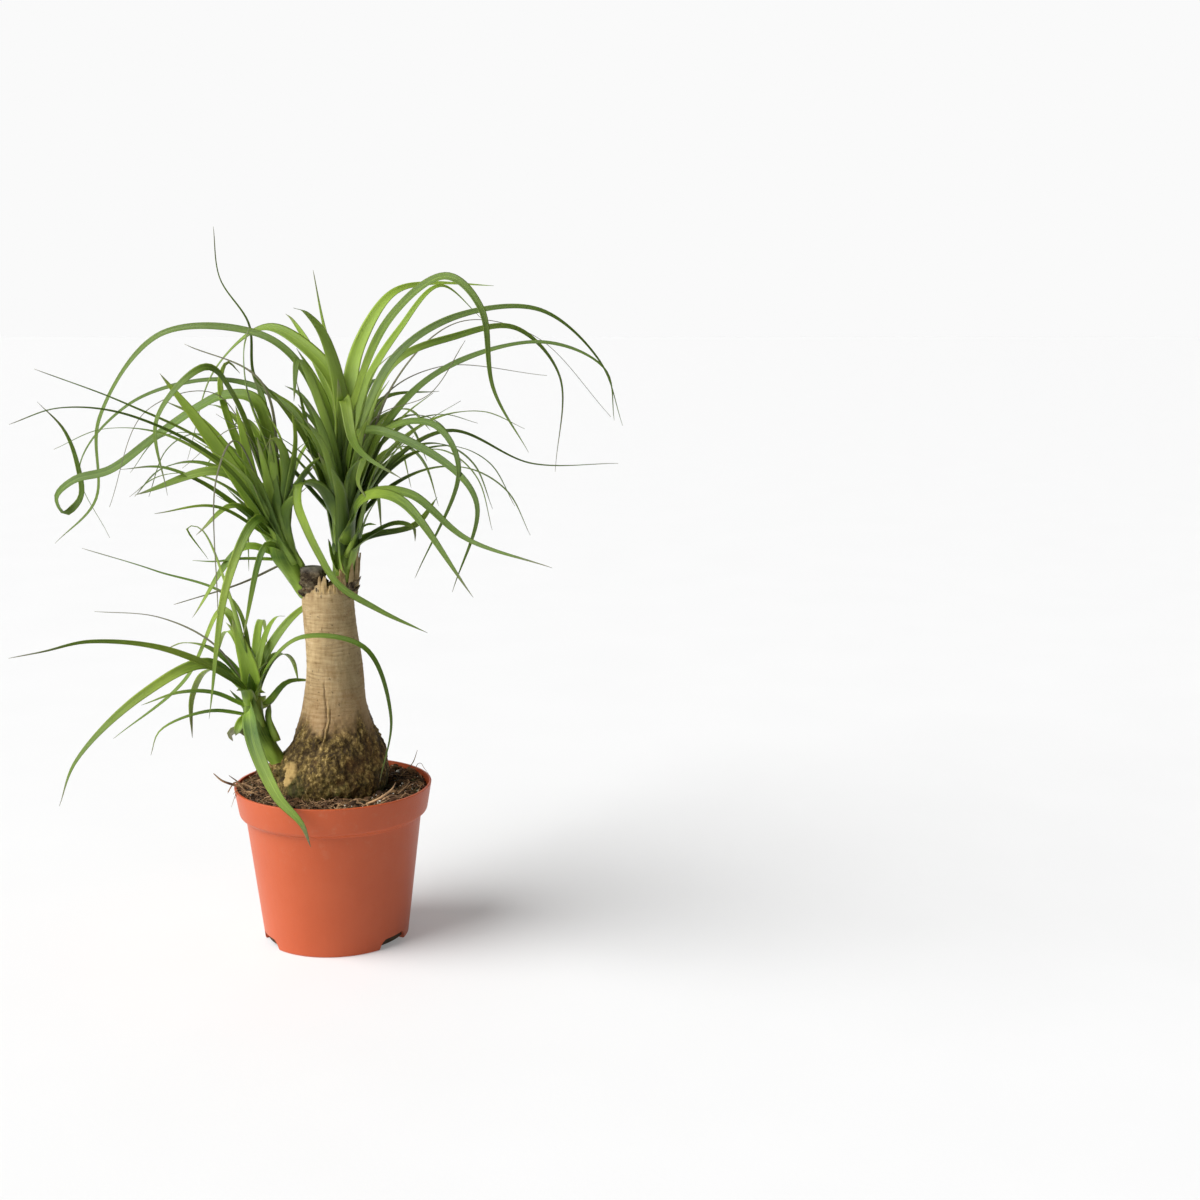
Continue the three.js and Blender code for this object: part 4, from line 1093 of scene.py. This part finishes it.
# The left shoot leans out from the saw cut, and its leaves fan up and to the left. Shoot and leaves
# grew as one, of soft green tissue.
LEFT_SHOOT = [[-11, -2, 212, 6], [-18, -3, 224, 7], [-26, -4, 238, 8], [-28.5, -4, 252, 7],
              [-29, -4, 268, 2.5]]     # across, back, up and radius
LEFT_LEAVES = [
    [9, 40, [-28, -4, 253], [-31, -14, 299], [-40, -24, 335], [-38, -40, 361], [-31, -56, 374]],
    [8.5, 20, [-26, -4, 244], [-19, -12, 279], [-13, -22, 308], [-13, -32, 326]],
    [8.5, 20, [-26, -4, 253], [-20, -16, 287], [-21, -25, 305], [-25, -30, 310], [-30, -33, 303]],
    [11, 20, [-28, -4, 247], [-32, -12, 278], [-36, -20, 310]],
    [11, 75, [-29, -4, 247], [-46, -18, 282], [-67, -36, 321], [-82, -56, 348]],
    [9, 70, [-27, -6, 248], [-39, -14, 278], [-43, -24, 309], [-45, -34, 329]],
    [7, 75, [-28, -2, 250], [-52, -8, 296], [-70, -14, 320], [-89, -20, 331]],
    [8, 20, [-26, -4, 241], [-20, -4, 271], [-21, -2, 289], [-27, 2, 310], [-34, 6, 321]],
    [8, 20, [-28, 0, 253], [-38, 14, 306], [-42, 30, 329], [-52, 46, 347]],
    [7, 40, [-28, -2, 253], [-51, 8, 297], [-65, 18, 339], [-62, 28, 352], [-56, 34, 345]],
    [7.5, 40, [-28, -4, 253], [-48, -22, 332], [-59, -44, 351], [-83, -62, 323], [-77, -70, 281]],
    [4, 50, [-29, -4, 247], [-52, -34, 294], [-92, -76, 325], [-120, -116, 332], [-138, -142, 325]],
    [4.5, 40, [-29, -2, 253], [-59, -24, 302], [-103, -52, 331], [-146, -74, 351]],
    [9.5, 50, [-28, -2, 259], [-42, 10, 329], [-61, 14, 332], [-78, 18, 325], [-110, 24, 304],
      [-137, 28, 286], [-159, 30, 280], [-172, 34, 269], [-169, 38, 259], [-159, 40, 268],
      [-159, 36, 290], [-165, 32, 311], [-179, 28, 328]],
    [2.2, 10, [-28, -2, 259], [-58, -24, 335], [-95, -40, 326], [-116, -48, 272]],
    [2.2, 10, [-28, 0, 259], [-38, 10, 340], [-86, 20, 363]],
    [2.4, 10, [-27, -4, 253], [-46, -20, 315], [-77, -34, 293]],
    [2.4, 10, [-28, -4, 247], [-46, -34, 309], [-54, -50, 288], [-55, -54, 211]],
    [9, 50, [-28, -2, 250], [-58, -10, 288], [-109, -20, 276]],
    [3.5, 40, [-28, -4, 244], [-56, -40, 271], [-82, -80, 272]],
    [5, 30, [-28, -3, 240], [-38, -4, 254], [-56, -8, 271], [-74, -12, 284], [-94, -16, 292],
      [-117, -20, 291]],
    [7, 40, [-28, -4, 244], [-50, -24, 270], [-69, -40, 255]],
    [7, 45, [-27, -4, 240], [-36, -24, 262], [-50, -46, 230], [-61, -60, 151]],
    [4.5, 40, [-25, -4, 238], [-33, -18, 246], [-48, -24, 190]],
    [6, 40, [-26, -4, 236], [-47, -12, 244], [-78, -20, 203]],
    [2, 50, [-25, -2, 234], [-55, 10, 219], [-99, 20, 204]],
    [3, 30, [-26, -4, 235], [-50, -12, 237], [-64, -16, 236], [-77, -18, 237]],
]
# Leaves of this shoot that stand out, by row: bright ones have a low tone, partly youth and partly
# painted light, and dark ones a high one, partly age and partly painted shade, and full ones keep their
# width for longer
LEFT_KINDS = {
    1: {"tone": 0.3}, 3: {"tone": 0.12}, 4: {"tone": 0.0, "full": 2.2}, 5: {"tone": 0.05, "full": 2.2},
    6: {"tone": 0.02, "full": 1.8}, 9: {"tone": 0.15}, 10: {"tone": 0.55, "full": 1.8},
    11: {"tone": 0.9}, 12: {"tone": 0.6}, 13: {"tone": 0.85, "full": 2.0}, 18: {"tone": 0.8},
    19: {"tone": 0.2}, 20: {"tone": 0.85}, 22: {"tone": 0.3, "clasp": 0.3},
    24: {"tone": 0.3, "clasp": 0.3},
}

left_blades = grown(
    np.random.default_rng(31), LEFT_LEAVES + fill_rows(11, 11, [-28, -2, 246], 134, 36, 160),
    LEFT_KINDS, heart_rows(32, 8, [-28.5, -4, 256], 84, 28), [0.06 * n for n in range(8)],
    sheath_rows(33, 11, LEFT_SHOOT, 60, 20))
foliage("left_leaves", left_blades, soft_green, "left_head")
stem_body("left_stem", LEFT_SHOOT, soft_green, "left_head")

# The right shoot is the older and larger one, and a deeper green. It stands upright on the saw cut
# and spreads its leaves all round; the last three of its rows were cut back.
RIGHT_SHOOT = [[9, 0, 214, 7], [10, 0, 226, 8], [11, 0, 242, 8.5], [11.5, 0, 258, 6.5],
               [12, 0, 276, 2.5]]
RIGHT_LEAVES = [
    [5, 55, [11, 0, 247], [2, 8, 306], [-16, 16, 350], [-43, 26, 369], [-106, 40, 368], [-148, 50, 316],
      [-154, 54, 265], [-180, 50, 238]],
    [13, 30, [10, 0, 259], [8, 12, 333], [-18, 26, 364], [-42, 40, 372], [-76, 54, 346], [-97, 62, 290]],
    [4.5, 20, [10, 2, 259], [-17, 14, 322], [-45, 26, 342], [-51, 40, 375], [-70, 50, 403],
      [-74, 56, 434]],
    [13, 20, [10, 0, 259], [12, -10, 331], [6, -24, 366], [0, -50, 381], [-3, -74, 384]],
    [12, 20, [10, 4, 258], [4, 30, 317], [-17, 60, 359], [-33, 90, 377], [-41, 110, 381]],
    [4, 10, [11, 2, 265], [9, 10, 335], [-2, 20, 375], [-9, 30, 407]],
    [12, 30, [12, 0, 265], [13, 20, 338], [18, 40, 365], [34, 64, 393], [55, 90, 400], [95, 110, 399]],
    [12, 50, [12, 0, 265], [19, -14, 322], [45, -34, 378], [79, -60, 401], [100, -84, 383],
      [107, -98, 341], [126, -108, 308]],
    [8, 30, [12, 4, 271], [17, 36, 329], [37, 76, 371], [61, 104, 399], [87, 124, 377]],
    [8.5, 50, [12, 0, 265], [24, 6, 321], [44, 14, 358], [80, 24, 380], [128, 32, 383], [164, 36, 352],
      [178, 36, 313]],
    [9, 50, [13, 2, 259], [37, 20, 348], [75, 44, 367], [111, 66, 372], [138, 80, 342], [135, 86, 280]],
    [2.4, 20, [13, 2, 259], [40, 26, 341], [77, 54, 376], [124, 84, 366], [171, 96, 315]],
    [8.5, 50, [13, 0, 253], [35, -10, 311], [72, -26, 348], [132, -44, 365], [167, -56, 350],
      [172, -60, 322]],
    [2.2, 10, [12, 2, 253], [30, 16, 327], [66, 36, 349], [131, 54, 343]],
    [2.2, 10, [13, 0, 253], [31, -16, 319], [67, -34, 336], [88, -44, 366]],
    [8, 50, [13, -2, 250], [38, -26, 312], [71, -54, 319], [86, -76, 295], [62, -88, 237]],
    [10, 50, [12, -2, 253], [24, -26, 312], [70, -60, 303], [97, -92, 278], [85, -116, 234]],
    [5, 40, [13, 2, 247], [34, 20, 288], [70, 50, 309], [120, 80, 286], [176, 104, 284]],
    [9.5, 45, [13, -2, 244], [27, -30, 275], [58, -66, 281], [92, -104, 261], [139, -136, 250]],
    [13, 45, [12, -2, 240], [27, -40, 274], [56, -88, 279], [98, -140, 235]],
    [8, 30, [12, 0, 238], [21, 20, 245], [46, 60, 248], [57, 100, 262]],
    [6, 20, [12, 0, 253], [14, 30, 305], [29, 60, 329], [61, 84, 332]],
    [10, 35, [11, -2, 271], [16, -24, 332], [24, -50, 311], [34, -72, 303], [57, -92, 292]],
    [11, 20, [10, -2, 259], [6, -16, 306], [-4, -36, 350], [-5, -56, 355], [-5, -70, 333]],
    [9, 20, [10, -4, 253], [7, -20, 291], [2, -40, 323], [-2, -56, 334]],
    [10, 20, [10, 0, 247], [0, -2, 274], [-7, -2, 298], [-13, 0, 328], [-16, 2, 342]],
    [8, 20, [10, 4, 249], [1, 14, 288], [-6, 24, 311], [-20, 36, 332], [-31, 46, 337]],
    [7, 50, [9, 2, 253], [-24, 28, 322], [-71, 58, 340], [-137, 80, 324], [-175, 92, 281],
      [-158, 94, 236]],
    [12, 20, [12, -6, 245], [6, -14, 267], [-1, -20, 280], [-9, -27, 283], [-10, -34, 273],
      [-5.5, -39, 261], [2.5, -42, 245], [14, -46, 227], [37, -54, 214], [66, -64, 202]],
    [7, 30, [13, -4, 235], [25, -14, 249], [45, -26, 260], [56, -34, 258], [57, -38, 251]],
    [6, 30, [13, -6, 236], [22, -20, 254], [29, -32, 260], [35, -40, 261]],
    [6, 30, [11, -6, 260], [19, -24, 291], [28, -36, 298], [25, -40, 286], [31, -46, 276]],
    [6, 40, [7, -5, 226], [3.6, -9, 238], [2.6, -12, 249]],
    [5, 40, [10, -6, 224], [8.4, -11, 238], [8.8, -13, 250]],
    [7, 20, [14, -4, 226], [18, -9, 240], [21, -13, 256]],
]
RIGHT_KINDS = {
    0: {"tone": 0.6, "full": 5}, 1: {"tone": 0.2, "full": 1.6}, 3: {"tone": 0.25}, 4: {"tone": 0.1},
    6: {"tone": 0.0, "full": 1.5}, 7: {"tone": 0.5}, 8: {"tone": 0.1, "full": 1.5}, 9: {"tone": 0.85},
    10: {"tone": 0.3}, 12: {"tone": 0.9}, 15: {"tone": 0.8}, 16: {"tone": 0.9}, 18: {"tone": 0.75},
    19: {"tone": 0.5}, 23: {"tone": 0.45}, 25: {"tone": 0.1}, 27: {"tone": 0.8},
    28: {"tone": 0.42, "full": 1.7},
    32: {"tone": 0.36, "full": 12, "clasp": 0.2}, 33: {"tone": 0.4, "full": 12, "clasp": 0.2},
    34: {"tone": 0.5, "full": 4, "clasp": 0.6},
}

right_blades = grown(
    np.random.default_rng(41), RIGHT_LEAVES + fill_rows(23, 18, [11.5, 2, 250], 74, 40, 175),
    RIGHT_KINDS, heart_rows(42, 18, [11.5, 0, 262], 120, 34), [0.1 + 0.8 * n / 18 for n in range(18)],
    sheath_rows(43, 15, RIGHT_SHOOT, 78, 6))
foliage("right_leaves", right_blades, deep_green, "right_head")
stem_body("right_stem", RIGHT_SHOOT, deep_green, "right_head")

# The offset is a young shoot from the side of the caudex, with fewer, broader and softer leaves. One
# of them hangs over the pot, and one small bract at its foot has withered.
OFFSET_SHOOT = [[-27, -4, 104, 6], [-38, -6, 120, 7], [-45, -8, 136, 6.5], [-46.5, -8, 150, 6],
                [-47, -8, 162, 2.5]]
OFFSET_LEAVES = [
    [14, 75, [-46, -8, 148], [-46, -14, 168], [-49.5, -18, 185], [-54.5, -20, 202]],
    [9, 50, [-46, -8, 148], [-50, -4, 174], [-58, 0, 191], [-63, 2, 196]],
    [8, 30, [-46, -5, 148], [-47, 4, 166], [-51, 12, 180]],
    [7, 50, [-46, -6, 150], [-55, 4, 185], [-67, 12, 202], [-92, 14, 158], [-139, 16, 120]],
    [6, 50, [-46, -8, 147], [-53, -26, 166], [-86, -52, 190], [-121, -80, 200], [-140, -104, 199],
      [-156, -112, 197]],
    [9, 50, [-46, -8, 147], [-68, -26, 176], [-101, -50, 163], [-135, -72, 129], [-142, -84, 106]],
    [3.2, 50, [-46, -8, 143], [-68, -14, 156], [-87, -22, 158], [-108, -30, 152]],
    [3, 40, [-47, -8, 140], [-70, -20, 146], [-97, -32, 137], [-102, -36, 123]],
    [1.6, 20, [-46, -6, 150], [-71, 6, 181], [-108, 20, 196], [-151, 30, 198]],
    [3.6, 20, [-46, -4, 149], [-61, 16, 206], [-113, 34, 223], [-163, 50, 235]],
    [6, 30, [-46, -6, 150], [-54, -26, 215], [-68, -34, 258], [-75, -36, 259], [-64, -34, 240]],
    [10, 85, [-45, -9, 150], [-45, -24, 146], [-40, -38, 131], [-23, -58, 104], [-8, -67, 90],
      [-3, -69, 77]],
    [7.5, 40, [-45, -4, 148], [-44, 10, 168], [-28, 22, 194], [-5, 34, 211]],
    [5.5, 30, [-45, -8, 146], [-33, -26, 174], [-10, -36, 194], [27, -40, 188], [41, -40, 148],
      [33, -34, 106]],
    [7.5, 40, [-44, -6, 142], [-39, 8, 145], [-30, 20, 155], [-14, 26, 155]],
    [9, 30, [-47, -8, 143], [-46, -30, 161], [-48, -44, 164]],
    [6, 30, [-48, -10, 139], [-51, -18, 139], [-54, -24, 132]],
]
WITHERED_BRACT = [5, 60, [-49, -10, 128], [-54, -14, 133], [-59, -15, 131], [-58, -14, 126]]
OFFSET_KINDS = {
    0: {"tone": 0.0, "full": 2.0}, 1: {"tone": 0.1, "full": 2.0}, 3: {"tone": 0.6}, 4: {"tone": 0.5},
    5: {"tone": 0.4}, 6: {"tone": 0.85}, 7: {"tone": 0.95}, 9: {"tone": 0.9}, 10: {"tone": 0.25},
    11: {"tone": 0.8, "clasp": 0.0, "full": 2.6}, 12: {"tone": 0.2}, 13: {"tone": 0.95, "full": 1.8},
    14: {"tone": 0.7},
}

draw = np.random.default_rng(51)
offset_blades = grown(draw, OFFSET_LEAVES + fill_rows(41, 6, [-46, -6, 146], 120, 46, 110),
                      OFFSET_KINDS, heart_rows(52, 3, [-46.5, -6, 150], 30, 16), [None] * 3,
                      sheath_rows(53, 3, OFFSET_SHOOT, 26, 22))
offset_blades.append(blade(WITHERED_BRACT, draw, 0.95))
foliage("offset_leaves", offset_blades, soft_green, "offset_head")
stem_body("offset_stem", OFFSET_SHOOT, soft_green, "offset_head")
